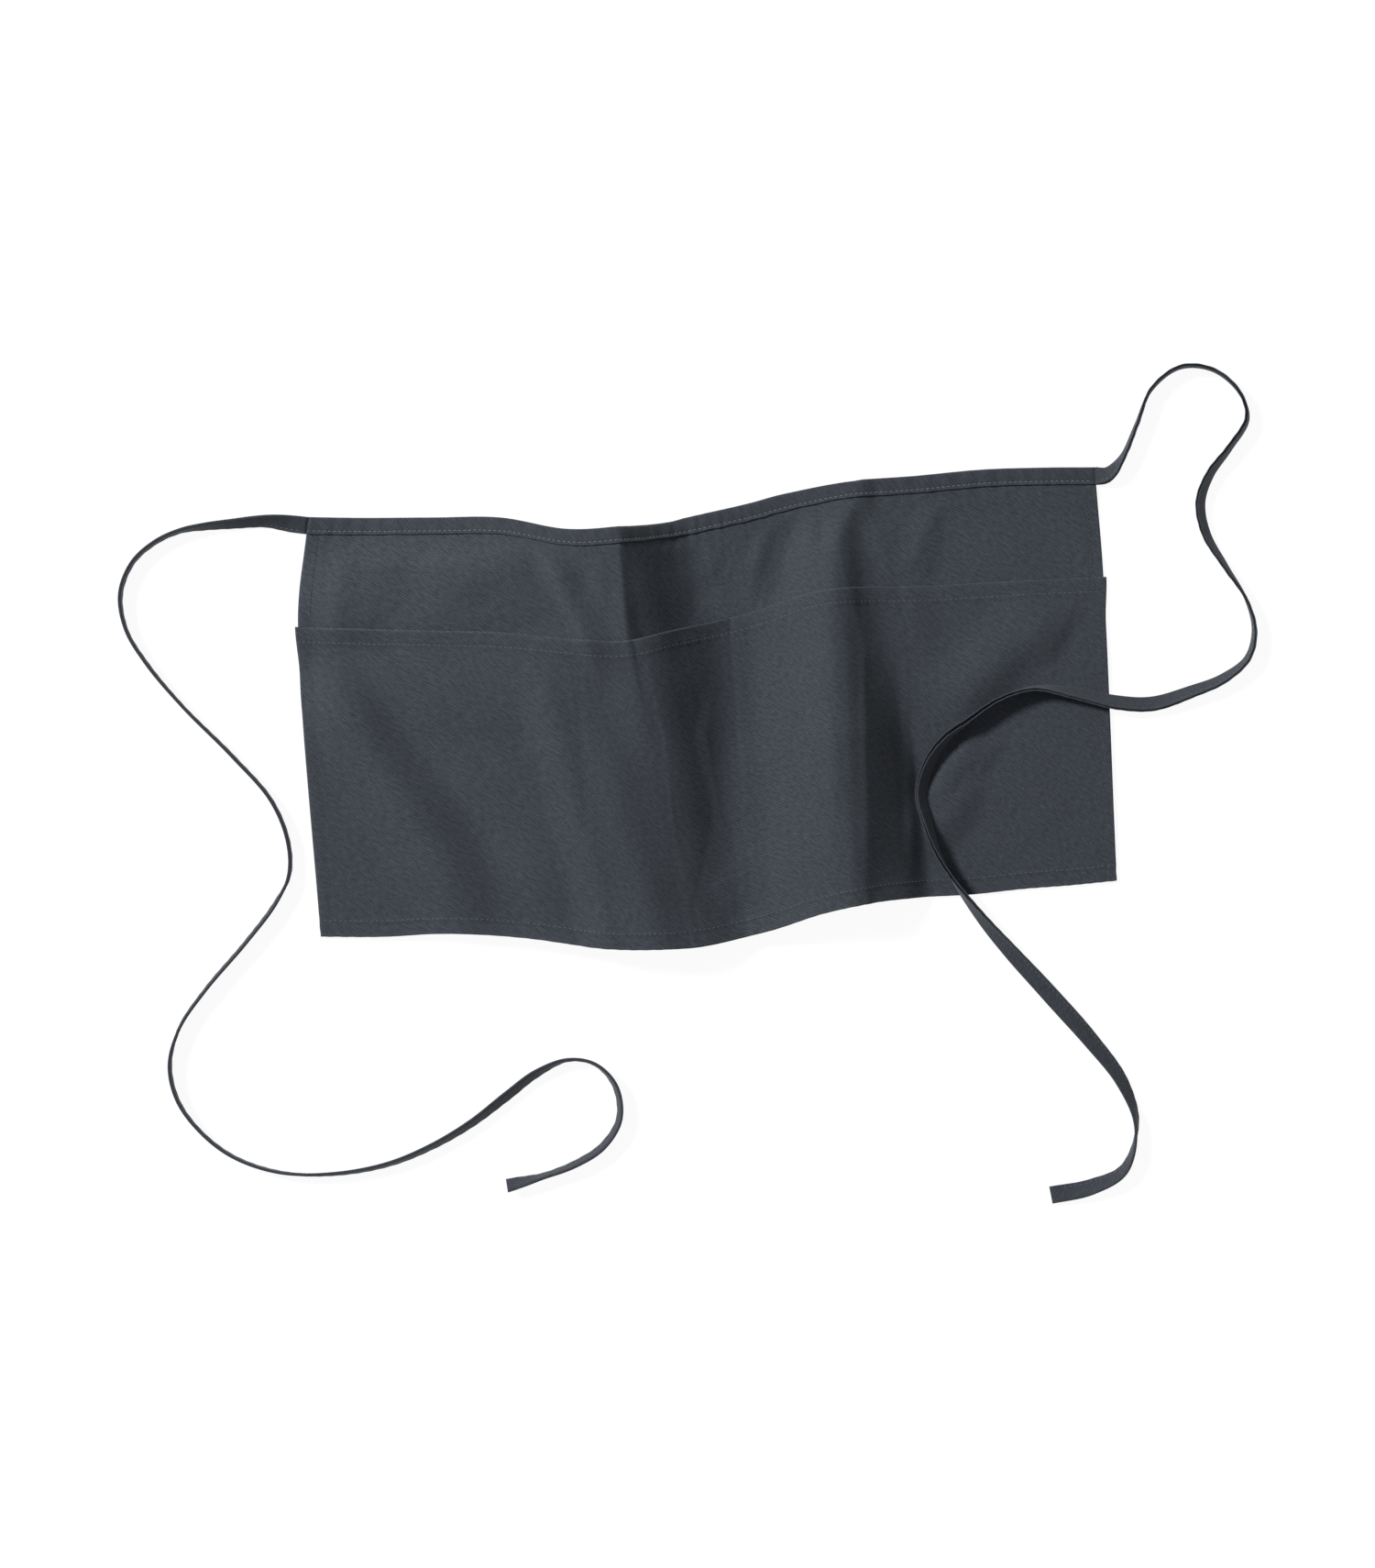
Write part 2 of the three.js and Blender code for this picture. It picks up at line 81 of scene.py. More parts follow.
# The easing at the crest takes a little off a fold's full height.
CREST_ALLOWANCE = 0.35 * MM
FOLD_HEIGHT = pocket_high.z - HEM_WALL - CLEARANCE - CLOTH_WALL + CREST_ALLOWANCE
HEM_DEPTH = 11.6 * MM
TAPE_WIDTH = 12.7 * MM
TAPE_LIFT = 1.6 * MM
TIE_THICKNESS = 2.2 * MM
TIE_REST = 0.2 * MM
MOUTH_ALONG = 0.263
LOOSE_SHARE = 0.75
SIDE_STRAIGHTNESS = 0.45
# The middle fold drops off at once above the pocket mouth, where the body alone makes it.
CREST_CRISPNESS = 0.45
CRISP_POWER = 1.8
CRISP_DOWN = 0.36
CRISP_FADE = 0.12
CREASE_FADE = 0.30

# Lines of the cloth's grain, as in the part's source: place across as a share of the spread at the
# waistband, the pocket mouth and the bottom hem, each with its place down as a share of the drop.
# The ends at the waistband and at the hem lie on the edge of the photographed cloth.
GRAIN = np.array([
    [0.013, 0.119, 0.000, 0.382, 0.028, 1.123],
    [0.086, 0.121, 0.076, 0.387, 0.106, 1.123],
    [0.168, 0.121, 0.166, 0.393, 0.194, 1.114],
    [0.250, 0.123, 0.250, 0.398, 0.281, 1.125],
    [0.329, 0.154, 0.339, 0.415, 0.367, 1.147],
    [0.394, 0.147, 0.401, 0.420, 0.433, 1.150],
    [0.451, 0.130, 0.459, 0.393, 0.496, 1.143],
    [0.505, 0.108, 0.523, 0.363, 0.571, 1.110],
    [0.552, 0.088, 0.577, 0.334, 0.638, 1.066],
    [0.596, 0.066, 0.624, 0.303, 0.698, 1.040],
    [0.672, 0.035, 0.689, 0.288, 0.758, 1.029],
    [0.756, 0.020, 0.767, 0.284, 0.823, 1.022],
    [0.837, 0.004, 0.845, 0.275, 0.885, 1.009],
    [0.907, 0.000, 0.918, 0.268, 0.944, 1.000],
    [0.973, 0.000, 0.984, 0.262, 1.000, 0.989],
])
DIVIDERS = (4 / 14, 9 / 14)

# Folds: a ridge with a long rise on its left and a short fall on its right. Columns: down, crest,
# rise, fall, height. The rows of the folds and creases were fitted to the photograph's light and dark
# by a program, and some were changed afterwards.
BODY_MIDDLE_FOLD = np.array([
    [0.02, 0.388, 0.355, 0.055, 0.76],
    [0.20, 0.394, 0.390, 0.100, 1.00],
    [0.42, 0.404, 0.400, 0.116, 1.00],
    [0.64, 0.430, 0.426, 0.067, 0.69],
    [0.86, 0.458, 0.454, 0.061, 0.41],
    [1.15, 0.485, 0.481, 0.072, 0.58],
])
POCKET_MIDDLE_FOLD = np.array([
    [0.40, 0.418, 0.414, 0.110, 1.00],
    [0.64, 0.447, 0.443, 0.089, 0.72],
    [0.86, 0.459, 0.455, 0.085, 0.61],
    [1.15, 0.490, 0.486, 0.073, 0.48],
])
RIGHT_FOLD = np.array([
    [0.02, 0.693, 0.100, 0.018, 0.08],
    [0.18, 0.657, 0.115, 0.066, 0.28],
    [0.42, 0.687, 0.227, 0.060, 0.50],
    [0.64, 0.688, 0.181, 0.060, 0.94],
    [0.86, 0.691, 0.186, 0.071, 1.00],
    [1.08, 0.689, 0.209, 0.094, 0.90],
])

# Soft creases along straight lines: place and down of both ends in shares, then the width on each side
# and the height, in millimetres. A height below zero is a hollow.
CREASES = np.array([
    [0.015, 0.263, -0.05, 0.829, 42, 13, -4], [0.065, 0.123, 0.042, 0.428, 17, 14, 2.2],
    [-0.012, 0.367, 0.18, 0.148, 44, 44, 8.3], [-0.009, 0.387, 0.256, 1.189, 40, 38, 15],
    [0.182, 0.145, 0.157, 0.217, 8, 13, -2.7], [-0.013, 0.385, 0.36, 0.309, 37, 28, 6.6],
    [0.059, 0.386, 0.303, 0.922, 17, 20, 3.7], [0.097, 0.389, 0.268, 0.703, 42, 12, 5.8],
    [0.19, 0.086, 0.217, 0.35, 35, 34, 4.5], [0.13, 0.239, 0.302, 0.218, 20, 38, 8.4],
    [0.124, 0.509, 0.313, 0.759, 44, 36, 3.2], [0.287, 0.385, 0.304, 1.274, 36, 44, 3.3],
    [0.275, 0.417, 0.391, 1.119, 20, 21, 2.4],
    [0.272, 0.08, 0.382, 0.53, 22, 10, 7.0], [0.3, 0.42, 0.41, 1.3, 46, 30, 10],
    [0.368, 0.186, 0.372, 0.392, 10, 19, 1.8], [0.367, 0.545, 0.472, 1.326, 29, 33, 8.5],
    [0.374, 0.141, 0.467, 1.067, 13, 24, 2.5], [0.405, 0.115, 0.455, 0.507, 15, 14, 0.9],
    [0.468, 0.124, 0.502, 0.301, 17, 20, 2.3], [0.508, 0.126, 0.504, 0.406, 19, 16, 2.6],
    [0.462, 0.336, 0.566, 1.027, 26, 18, 1.2], [0.517, 0.966, 0.542, 1.065, 17, 19, 1.4],
    [0.559, 0.934, 0.511, 1.057, 29, 23, 1.2], [0.552, 0.109, 0.524, 0.254, 10, 11, -1.6],
    [0.575, 0.092, 0.555, 0.273, 18, 10, 2.2], [0.549, 0.172, 0.59, 1.194, 49, 23, -5.5],
    [0.611, 0.042, 0.57, 0.381, 19, 19, -6.1], [0.634, 0.377, 0.602, 1.026, 19, 21, 1.6],
    [0.641, 0.052, 0.64, 0.215, 14, 12, -2.5], [0.652, 0.011, 0.645, 1.032, 23, 34, 8.2],
    [0.68, 0.068, 0.711, 0.304, 16, 16, -2.3], [0.697, 0.223, 0.706, 1.219, 28, 20, -9],
    [0.693, 0.016, 0.777, 0.609, 35, 26, 5.1], [0.744, 0.355, 0.749, 1.011, 10, 8, 1.7],
    [0.791, 0.042, 0.738, 0.277, 8, 20, 0.9], [0.782, 0.033, 0.76, 0.292, 17, 22, 4.1],
    [0.84, 0.594, 0.75, 0.839, 17, 10, 3.8], [0.882, 0.639, 0.741, 0.943, 29, 33, 6.9],
    [0.825, -0.004, 0.846, 0.239, 13, 9, -2.2], [0.94, 0.289, 0.776, 0.627, 32, 42, 7.5],
    [0.848, 0.033, 0.897, 0.26, 13, 13, 1], [1.005, 0.575, 0.789, 0.795, 37, 19, -6.1],
    [0.956, 0.781, 0.863, 0.916, 17, 22, 1.9], [0.873, 0.004, 0.977, 0.132, 8, 8, 3.1],
    [0.958, 0.284, 0.9, 0.504, 15, 27, 2.6], [0.869, 0.041, 0.99, 0.169, 8, 12, -1.6],
    [0.95, 0.219, 0.977, 0.33, 8, 11, -3.2],
])
FLOOR_EASE = 1.5 * MM
# Where the cloth lies flat its swells are lower and stand on the floor, not in it.
SWELL_RISE = 4.0 * MM
FLAT_SWELL = 0.45
FLAT_LIFT = 0.38 * MM
CREST_EASE = 5.0 * MM
CREST_LIMIT = FOLD_HEIGHT + 5.0 * MM

# Routes of the two ties: x, y and lift in millimetres, and the roll of the tape in degrees. x and y
# are those of the part's source, and some lifts and rolls aren't. The routes follow a program's trace
# of the photograph.
LEFT_ROUTE = np.array([
    [-293, 133, 0.1, 0], [-302, 134, 0.2, 14], [-321, 136, 0.0, 54], [-347, 134, 0.0, 66],
    [-367, 132, 0.0, 75], [-384, 129, 0.0, 86], [-402, 121, 0.0, 88], [-419, 106, 0.0, 90],
    [-428, 83, 0.0, 90], [-424, 57, 0.0, 92], [-409, 32, 0.0, 90], [-383, 1, 0.0, 92],
    [-346, -36, 0.0, 90], [-318, -68, 0.0, 90], [-306, -97, 0.0, 90], [-305, -122, 0.0, 90],
    [-315, -143, 0.0, 100], [-337, -172, 0.0, 98], [-366, -206, 0.0, 97], [-385, -234, 0.0, 96],
    [-392, -260, 0.0, 91], [-387, -285, 0.0, 92], [-372, -307, 0.0, 94], [-347, -327, 0.0, 93],
    [-312, -339, 0.0, 93], [-272, -340, 0.0, 99], [-233, -333, 0.0, 103], [-201, -320, 0.0, 107],
    [-172, -303, 0.0, 112], [-146, -283, 0.0, 118], [-125, -267, 0.0, 114], [-102, -257, 0.0, 96],
    [-82, -260, 0.0, 96], [-67, -276, 0.0, 104], [-64, -300, 0.0, 104], [-76, -320, 0.0, 106],
    [-96, -333, 0.0, 104], [-120, -342, 0.0, 98], [-146, -349, 0.0, 132],
])
RIGHT_ROUTE = np.array([
    [284.3, 169, 0.1, 0], [292, 170, 0.4, 38], [303, 183, 0.0, 82], [313, 206, 0.0, 88],
    [324, 232, 0.0, 96], [345, 248, 0.0, 93], [369, 246, 0.0, 87], [388, 230, 0.0, 84],
    [394, 211, 0.0, 76], [381, 189, 0.0, 74], [367, 170, 0.0, 64], [360, 150, 0.0, 56],
    [364, 127, 0.0, 58], [378, 103, 0.0, 70], [393, 79, 0.0, 84], [399, 56, 0.0, 92],
    [394, 36, 0.0, 100], [376, 21, 0.0, 118], [354, 12, 0.0, 128], [325, 3, 0.0, 142],
    [298, 4, 2.9, 140], [266, 11, 3.0, 128], [238, 14, 3.6, 98], [213, 6, 5.3, 88],
    [190, -10, 4.7, 82], [174, -23, 3.1, 66], [162, -41, 3.2, 50], [156, -63, 4.5, 48],
    [161, -86, 7.7, 58], [169, -108, 4.7, 76], [180, -127, 4.1, 92], [201, -155, 0.6, 120],
    [222, -179, 0.0, 144], [248, -207, 0.2, 166], [280, -243, 0.0, 204], [303, -274, 0.0, 226],
    [313, -305, 0.0, 256], [304, -337, 0.0, 292], [280, -350, 0.0, 326], [251, -356, 0.0, 352],
])


# Small helpers.
def smooth(share):
    share = np.clip(share, 0.0, 1.0)
    return share * share * (3 - 2 * share)


def unit(vectors):
    return vectors / np.maximum(np.linalg.norm(vectors, axis=-1, keepdims=True), 1e-12)


def mesh_piece(name, points, faces, cloth, wear_and_highlight):
    """A mesh object on the body root, with its cloth coordinates and paler edges kept for the materials; the
    paler edges are partly wear and partly painted highlight. Its end caps, the faces with more than four
    corners, stay flat."""
    mesh = bpy.data.meshes.new(name)
    mesh.from_pydata(np.asarray(points).tolist(), [], [list(map(int, face)) for face in faces])
    mesh.update()
    layer = mesh.uv_layers.new(name="cloth")
    corners = np.empty(len(mesh.loops), dtype=np.int32)
    mesh.loops.foreach_get("vertex_index", corners)
    layer.data.foreach_set("uv", np.asarray(cloth, np.float32)[corners].ravel())
    wear_and_highlight_layer = mesh.attributes.new("wear_and_highlight", "FLOAT", "POINT")
    wear_and_highlight_layer.data.foreach_set("value", np.asarray(wear_and_highlight, np.float32).ravel())
    mesh.polygons.foreach_set("use_smooth", [len(face) <= 4 for face in faces])
    piece = bpy.data.objects.new(name, mesh)
    bpy.context.scene.collection.objects.link(piece)
    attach(piece, "root")
    return piece


def grid_faces(rows, columns, start=0, flip=False, close=False):
    row = np.arange(rows - 1)[:, None]
    column = np.arange(columns if close else columns - 1)[None, :]
    after = (column + 1) % columns
    a = start + row * columns + column
    b = start + (row + 1) * columns + column
    c = start + (row + 1) * columns + after
    d = start + row * columns + after
    corners = (a, d, c, b) if flip else (a, b, c, d)
    return np.stack([np.broadcast_to(x, a.shape) for x in corners], axis=-1).reshape(-1, 4).tolist()


def loft_faces(rings, sides, flip=False):
    """Faces of a closed tube of rings with flat ends."""
    faces = grid_faces(rings, sides, flip=not flip, close=True)
    first = list(range(sides))
    last = [(rings - 1) * sides + side for side in range(sides)]
    ends = [first, last[::-1]] if flip else [first[::-1], last]
    return faces + ends


# Curves as the part's source draws them.
def pad_ends(points):
    return np.vstack([2 * points[0] - points[1], points, 2 * points[-1] - points[-2]])


def uniform_spline(points, shares):
    """Catmull-Rom curve at shares of its index, straight on at both ends."""
    padded = pad_ends(points)
    place = np.clip(shares, 0, 1) * (len(points) - 1)
    index = np.minimum(place.astype(int), len(points) - 2)
    t = (place - index)[..., None]
    p0, p1, p2, p3 = (padded[index + step] for step in range(4))
    start, end = (p2 - p0) / 2, (p3 - p1) / 2
    return p1 + start * t + (3 * (p2 - p1) - 2 * start - end) * t**2 + (2 * (p1 - p2) + start + end) * t**3


def centripetal_spline(points, per_span):
    """Centripetal Catmull-Rom curve: its points, and where each lies among the route's points."""
    padded = pad_ends(points)
    gaps = np.linalg.norm(np.diff(padded, axis=0), axis=1) ** 0.5
    index = np.repeat(np.arange(len(points) - 1), per_span)
    t = np.tile(np.arange(per_span) / per_span, len(points) - 1)
    index, t = np.append(index, len(points) - 2), np.append(t, 1.0)[:, None]
    p0, p1, p2, p3 = (padded[index + step] for step in range(4))
    d0, d1, d2 = (gaps[index + step][:, None] for step in range(3))
    start = ((p1 - p0) / d0 - (p2 - p0) / (d0 + d1) + (p2 - p1) / d1) * d1
    end = ((p2 - p1) / d1 - (p3 - p1) / (d1 + d2) + (p3 - p2) / d2) * d1
    curve = p1 + start * t + (3 * (p2 - p1) - 2 * start - end) * t**2 + (2 * (p1 - p2) + start + end) * t**3
    return curve, index + t[:, 0]


def lengths_along(points):
    return np.append(0.0, np.cumsum(np.linalg.norm(np.diff(points, axis=0), axis=1)))


def rows_at(places, along, rows):
    """Rows of x, y and z between the given ones, at distances along them."""
    return np.column_stack([np.interp(places, along, rows[:, axis]) for axis in range(3)])


# Ties.
TIE_PITCH = 2.1 * MM
STEPS_PER_POINT = 40
LEAF = 0.95 * MM
LEAF_ROUNDING = 0.15 * MM
SLOT_DEPTH = 4.2 * MM
STITCH_IN = 2.4 * MM
ROLL_SMOOTHING = 9 * MM
# A tie's leaves are thicker by this share where it starts, tucked into the end of the waist tape.
TIE_JOIN = 0.9
JOIN_LENGTH = 16 * MM
TIE_TUCK = 1.4 * MM
# How far the two leaves part at the open edge: a little everywhere, and more in zones of start and
# end along the tie in metres and the amount in millimetres.
OPENING_REACH = 2.2 * SLOT_DEPTH
GAPE = 0.10 * MM
GAPE_WAVE = 0.12 * MM
GAPE_WAVE_LENGTH = 61 * MM
LEFT_GAPES = [(1.072, 1.2, 2.6)]
RIGHT_GAPES = [(0.08, 0.32, 0.5), (0.40, 0.56, 0.8), (0.52, 0.68, 1.5), (0.64, 0.80, 0.7)]
FLUTTER = 0.12 * MM
FLUTTER_STEP = 9.7 * MM
FLUTTER_DRIFT = 37 * MM
# How much of a tape's thickness counts in its cloth coordinates, and how much paler a tie's open edge is
# painted, partly wear and partly a painted highlight along the leaves' edges.
TIE_WRAP = 0.6
TIE_WEAR_AND_HIGHLIGHT = 0.6
# Half outline of a folded tape: millimetres from its folded edge or its open edge, and the height over
# the tape's middle as a share of a leaf.
FOLDED_SIDE = [(0.0, 0.0), (0.12, 0.42), (0.45, 0.80), (1.1, 0.98), (3.0, 1.0)]
OPEN_SIDE = [(3.4, 1.0), (2.7, 0.97), (2.4, 0.86), (2.1, 0.97), (1.2, 1.02), (0.45, 1.0), (0.1, 0.84)]
INNER_SIDE = [(0.0, 0.5), (0.15, 0.22), (1.0, 0.14), (SLOT_DEPTH / MM, 0.05)]


def tie_line(route):
    """The tie's centreline at even steps with its frame: points, side, out and distance along."""
    roll = np.radians(route[:, 3])
    rise = TAPE_WIDTH / 2 * np.abs(np.sin(roll)) + TIE_THICKNESS / 2 * np.abs(np.cos(roll))
    points = np.column_stack([route[:, 0] * MM, route[:, 1] * MM, TIE_REST + route[:, 2] * MM + rise])
    fine, places = centripetal_spline(points, STEPS_PER_POINT)
    along = lengths_along(fine)
    steps = int(round(along[-1] / TIE_PITCH))
    even = np.linspace(0, along[-1], steps + 1)
    line = rows_at(even, along, fine)
    rolls = np.interp(np.interp(even, along, places), np.arange(len(route)), roll)
    reach = int(ROLL_SMOOTHING / TIE_PITCH)
    weights = np.hanning(2 * reach + 3)[1:-1]
    rolls = np.convolve(np.pad(rolls, reach, mode="edge"), weights / weights.sum(), mode="valid")
    ahead = unit(np.gradient(line, axis=0))
    flat_side = unit(np.cross([0.0, 0.0, 1.0], ahead))
    flat_out = np.cross(ahead, flat_side)
    cosine, sine = np.cos(rolls)[:, None], np.sin(rolls)[:, None]
    side = flat_side * cosine - flat_out * sine
    out = flat_side * sine + flat_out * cosine
    return line, side, out, even


def tape_section(gape, thicken):
    """Outlines of a folded tape at each step: the width from fold to open edge, and the height of its
    outer and inner side above the middle."""
    half = TAPE_WIDTH / 2
    outer = ([(from_fold * MM - half, share) for from_fold, share in FOLDED_SIDE] + [(0.0, 1.0)]
             + [(half - from_open * MM, share) for from_open, share in OPEN_SIDE])
    inner = [(half - from_open * MM, share) for from_open, share in INNER_SIDE]
    rings = []
    for sign, rows in ((1, outer + inner), (-1, (outer[1:] + inner)[::-1])):
        for width, share in rows:
            opened = smooth((width - half + OPENING_REACH) / OPENING_REACH)
            height = sign * (share * (LEAF + LEAF_ROUNDING) * thicken + gape * opened / 2)
            rings.append((np.full_like(gape, width), height))
    return np.stack([np.stack(ring, axis=-1) for ring in rings], axis=1)


def join_thickness(along):
    """A tie is thicker where it starts at the waistband: times the leaf's own thickness."""
    return 1 + TIE_JOIN * (1 - smooth(along / JOIN_LENGTH))


def parted_leaves(along, zones):
    """How far the leaves part at the open edge. A zone that reaches past the tie's end stays open."""
    gape = np.full(len(along), GAPE) + GAPE_WAVE * np.sin(along / GAPE_WAVE_LENGTH) ** 2
    for start, end, amount in zones:
        share = (along - start) / (end - start)
        opened = smooth(1 - np.abs(2 * share - 1)) if end < along[-1] else smooth(share)
        gape += amount * MM * opened
    return gape


def tie_tape(name, route, open_side, gape_zones):
    """A tie as a folded tape: two leaves that part a little at its open edge."""
    line, side, out, along = tie_line(route)
    line[0] -= unit(line[1] - line[0]) * TIE_TUCK
    section = tape_section(parted_leaves(along, gape_zones), join_thickness(along))
    width, height = section[..., 0] * open_side, section[..., 1]
    flutter = FLUTTER * np.sin(TURN * along / FLUTTER_STEP + 2.0 * np.sin(along / FLUTTER_DRIFT))
    edge = smooth((section[..., 0] - TAPE_WIDTH / 4) / (TAPE_WIDTH / 4))
    height = height + edge * flutter[:, None]
    points = line[:, None] + side[:, None] * width[..., None] + out[:, None] * height[..., None]
    points[..., 2] = np.maximum(points[..., 2], TIE_REST / 2)
    rings, sides = width.shape
    down_tape = np.broadcast_to(along[:, None], width.shape)
    cloth = np.stack([down_tape, section[..., 0] + height * TIE_WRAP], axis=-1)
    # The tie's open edge is painted paler, partly wear and partly a painted highlight.
    piece = mesh_piece(name, points.reshape(-1, 3), loft_faces(rings, sides, flip=open_side < 0),
                       cloth.reshape(-1, 2), edge.ravel() * TIE_WEAR_AND_HIGHLIGHT)
    return piece, line, side, out, along


left_tie, left_line, left_side, left_out, left_along = tie_tape(
    "left_tie_tape", LEFT_ROUTE, 1, LEFT_GAPES)
right_tie, right_line, right_side, right_out, right_along = tie_tape(
    "right_tie_tape", RIGHT_ROUTE, -1, RIGHT_GAPES)
for tie, node, line, along in ((left_tie, "tie_left", left_line, left_along),
                               (right_tie, "tie_right", right_line, right_along)):
    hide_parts(node)


# The cloth's shape.
def cloth_plan(across, along):
    """Place and down, in shares, of a point of the cloth."""
    top = uniform_spline(GRAIN[:, 0:2], across)
    mouth = uniform_spline(GRAIN[:, 2:4], across)
    bottom = uniform_spline(GRAIN[:, 4:6], across)
    above = (along <= MOUTH_ALONG)[..., None]
    overall = bottom - top
    upper = (mouth - top) / MOUTH_ALONG
    lower = (bottom - mouth) / (1 - MOUTH_ALONG)
    share = np.where(above[..., 0], along / MOUTH_ALONG, (along - MOUTH_ALONG) / (1 - MOUTH_ALONG))[..., None]
    stretch = np.where(above, MOUTH_ALONG, 1 - MOUTH_ALONG)
    start, end = np.where(above, top, mouth), np.where(above, mouth, bottom)
    leave, arrive = np.where(above, upper, overall), np.where(above, overall, lower)
    square, cube = share**2, share**3
    plan = (start * (2 * cube - 3 * square + 1) + leave * (cube - 2 * square + share) * stretch
            + end * (3 * square - 2 * cube) + arrive * (cube - square) * stretch)
    return plan[..., 0], plan[..., 1]


def fold_height(fold, place, down):
    crest, rise, fall, height = (np.interp(down, fold[:, 0], fold[:, column]) for column in range(1, 5))
    away = np.clip(np.where(place < crest, (crest - place) / rise, (place - crest) / fall), 0, 1)
    shape = smooth(away) * (1 - SIDE_STRAIGHTNESS) + away * SIDE_STRAIGHTNESS
    if fold is BODY_MIDDLE_FOLD:
        crisp = CREST_CRISPNESS * (place > crest) * (1 - smooth((down - CRISP_DOWN) / CRISP_FADE))
        shape = shape * (1 - crisp) + (1 - (1 - away) ** CRISP_POWER) * crisp
    return height * FOLD_HEIGHT * (1 - shape)


def crease_height(row, place, down):
    start, start_down, end, end_down, left_width, right_width, height = row
    line = np.array([(end - start) * SPREAD, (end_down - start_down) * DROP])
    length = np.linalg.norm(line)
    line /= length
    x, y = (place - start) * SPREAD, (down - start_down) * DROP
    share = (x * line[0] + y * line[1]) / length
    aside = x * line[1] - y * line[0]
    width = np.where(aside > 0, left_width, right_width) * MM
    fade = smooth(np.minimum(share, 1 - share) / CREASE_FADE)
    return height * MM * fade * (1 - smooth(np.abs(aside) / width))


def eased_limits(height):
    """Keeps a height above the floor and under the highest crest, without a sharp bend."""
    risen = np.clip(height / (2 * FLOOR_EASE), 0, 1)
    height = np.where(risen < 1, FLOOR_EASE * risen**2, height - FLOOR_EASE)
    room = CREST_LIMIT - height
    return CREST_LIMIT - (room + np.sqrt(room**2 + CREST_EASE**2)) / 2


def seam_gather(distance, step, phase):
    """An uneven row of small gathers along a seam, from -1 to 1."""
    return (np.sin(TURN * distance / step + 1.7 * np.sin(distance / (4.3 * step)) + phase)
            * (0.62 + 0.38 * np.sin(distance / (2.9 * step) + phase)))


def softness(place, down):
    """Low uneven swells of handled cloth: three crossing waves, heights and lengths in millimetres."""
    x, y = place * SPREAD / MM, down * DROP / MM
    return MM * (0.30 * np.sin(x / 17.0 + y / 29.0 + 1.1 * np.sin(y / 41.0))
                 + 0.24 * np.sin(x / 11.0 - y / 19.0 + 0.9 * np.sin(x / 53.0) + 2.0)
                 + 0.30 * np.sin(x / 31.0 + y / 12.5 + 1.3 * np.sin(x / 37.0) + 4.0))


BAND_FADE = 2 * TAPE_WIDTH
BAND_GATHER = 0.30 * MM
BAND_GATHER_STEP = 12.5 * MM
HEM_GATHER = 0.22 * MM
HEM_GATHER_STEP = 10.5 * MM
HEM_GATHER_SLANT = 0.8
HEM_GATHER_OVER = 6 * MM
GATHER_REACH = 9 * MM
# The swells are full this far from the edges, and smaller at them.
SWELL_EDGE = 25 * MM
EDGE_SWELL = 0.3


def band_gathers(across, under_band):
    """Small gathers made by the waist tape, which fade out below it."""
    fade = np.exp(-np.maximum(under_band, 0) / GATHER_REACH)
    return BAND_GATHER * seam_gather(across * SPREAD, BAND_GATHER_STEP, phase=0.4) * fade


def hem_gathers(across, over_hem):
    """Small slanting gathers just above the bottom edge."""
    fade = np.exp(-((over_hem - HEM_GATHER_OVER) / GATHER_REACH) ** 2)
    slanting = across * SPREAD + over_hem * HEM_GATHER_SLANT
    return HEM_GATHER * seam_gather(slanting, HEM_GATHER_STEP, phase=2.2) * fade


def cloth_height(place, down, along, across):
    """Height of the cloth's upper side over the floor."""
    height = fold_height(BODY_MIDDLE_FOLD, place, down) + fold_height(RIGHT_FOLD, place, down)
    under_band = along * DROP - TAPE_WIDTH
    over_hem = (1 - along) * DROP
    below = smooth(under_band / BAND_FADE)
    creases = sum(crease_height(row, place, down) for row in CREASES)
    height = eased_limits(height + creases * below)
    lift = TAPE_LIFT * (1 - below)
    gathers = band_gathers(across, under_band) + hem_gathers(across, over_hem)
    edge = np.minimum(np.minimum(across, 1 - across) * SPREAD, over_hem) / SWELL_EDGE
    risen = smooth(height / SWELL_RISE)
    swell = softness(place, down) * (FLAT_SWELL + (1 - FLAT_SWELL) * risen) + FLAT_LIFT * (1 - risen)
    return HEM_WALL + height + lift + gathers + swell * smooth(edge * (1 - EDGE_SWELL) + EDGE_SWELL)


def body_top(across, along):
    place, down = cloth_plan(across, along)
    height = cloth_height(place, down, along, across)
    return np.stack([FAR_LEFT + place * SPREAD, HIGHEST - down * DROP, height], -1)


NORMAL_STEP = 0.0016


def normal_of(surface, across, along):
    after, before = np.minimum(1, across + NORMAL_STEP), np.maximum(0, across - NORMAL_STEP)
    lower, upper = np.minimum(1, along + NORMAL_STEP), np.maximum(0, along - NORMAL_STEP)
    right = surface(after, along) - surface(before, along)
    below = surface(across, lower) - surface(across, upper)
    return unit(np.cross(below, right))


def pocket_lift(place, down, along):
    own = fold_height(POCKET_MIDDLE_FOLD, place, down)
    under = fold_height(BODY_MIDDLE_FOLD, place, down)
    below_mouth = (along - MOUTH_ALONG) / (1 - MOUTH_ALONG)
    sewn = smooth((below_mouth - LOOSE_SHARE) / (1 - LOOSE_SHARE))
    return np.maximum(0, own - under) * (1 - sewn)


SIDE_STITCH = 8.6 * MM
DIVIDER_PULL = 1.5 * MM
EDGE_PULL = 1.6 * MM


def seam_pull(across, along):
    """How far the panel is pulled down on the body by the stitching near it, from 0 to 1."""
    pull = np.zeros(np.broadcast(across, along).shape)
    for divider in DIVIDERS:
        pull = np.maximum(pull, np.exp(-((across - divider) * SPREAD / DIVIDER_PULL) ** 2))
    for inset in (across * SPREAD, (1 - across) * SPREAD, (1 - along) * DROP):
        pull = np.maximum(pull, np.exp(-((inset - SIDE_STITCH) / EDGE_PULL) ** 2))
    return pull


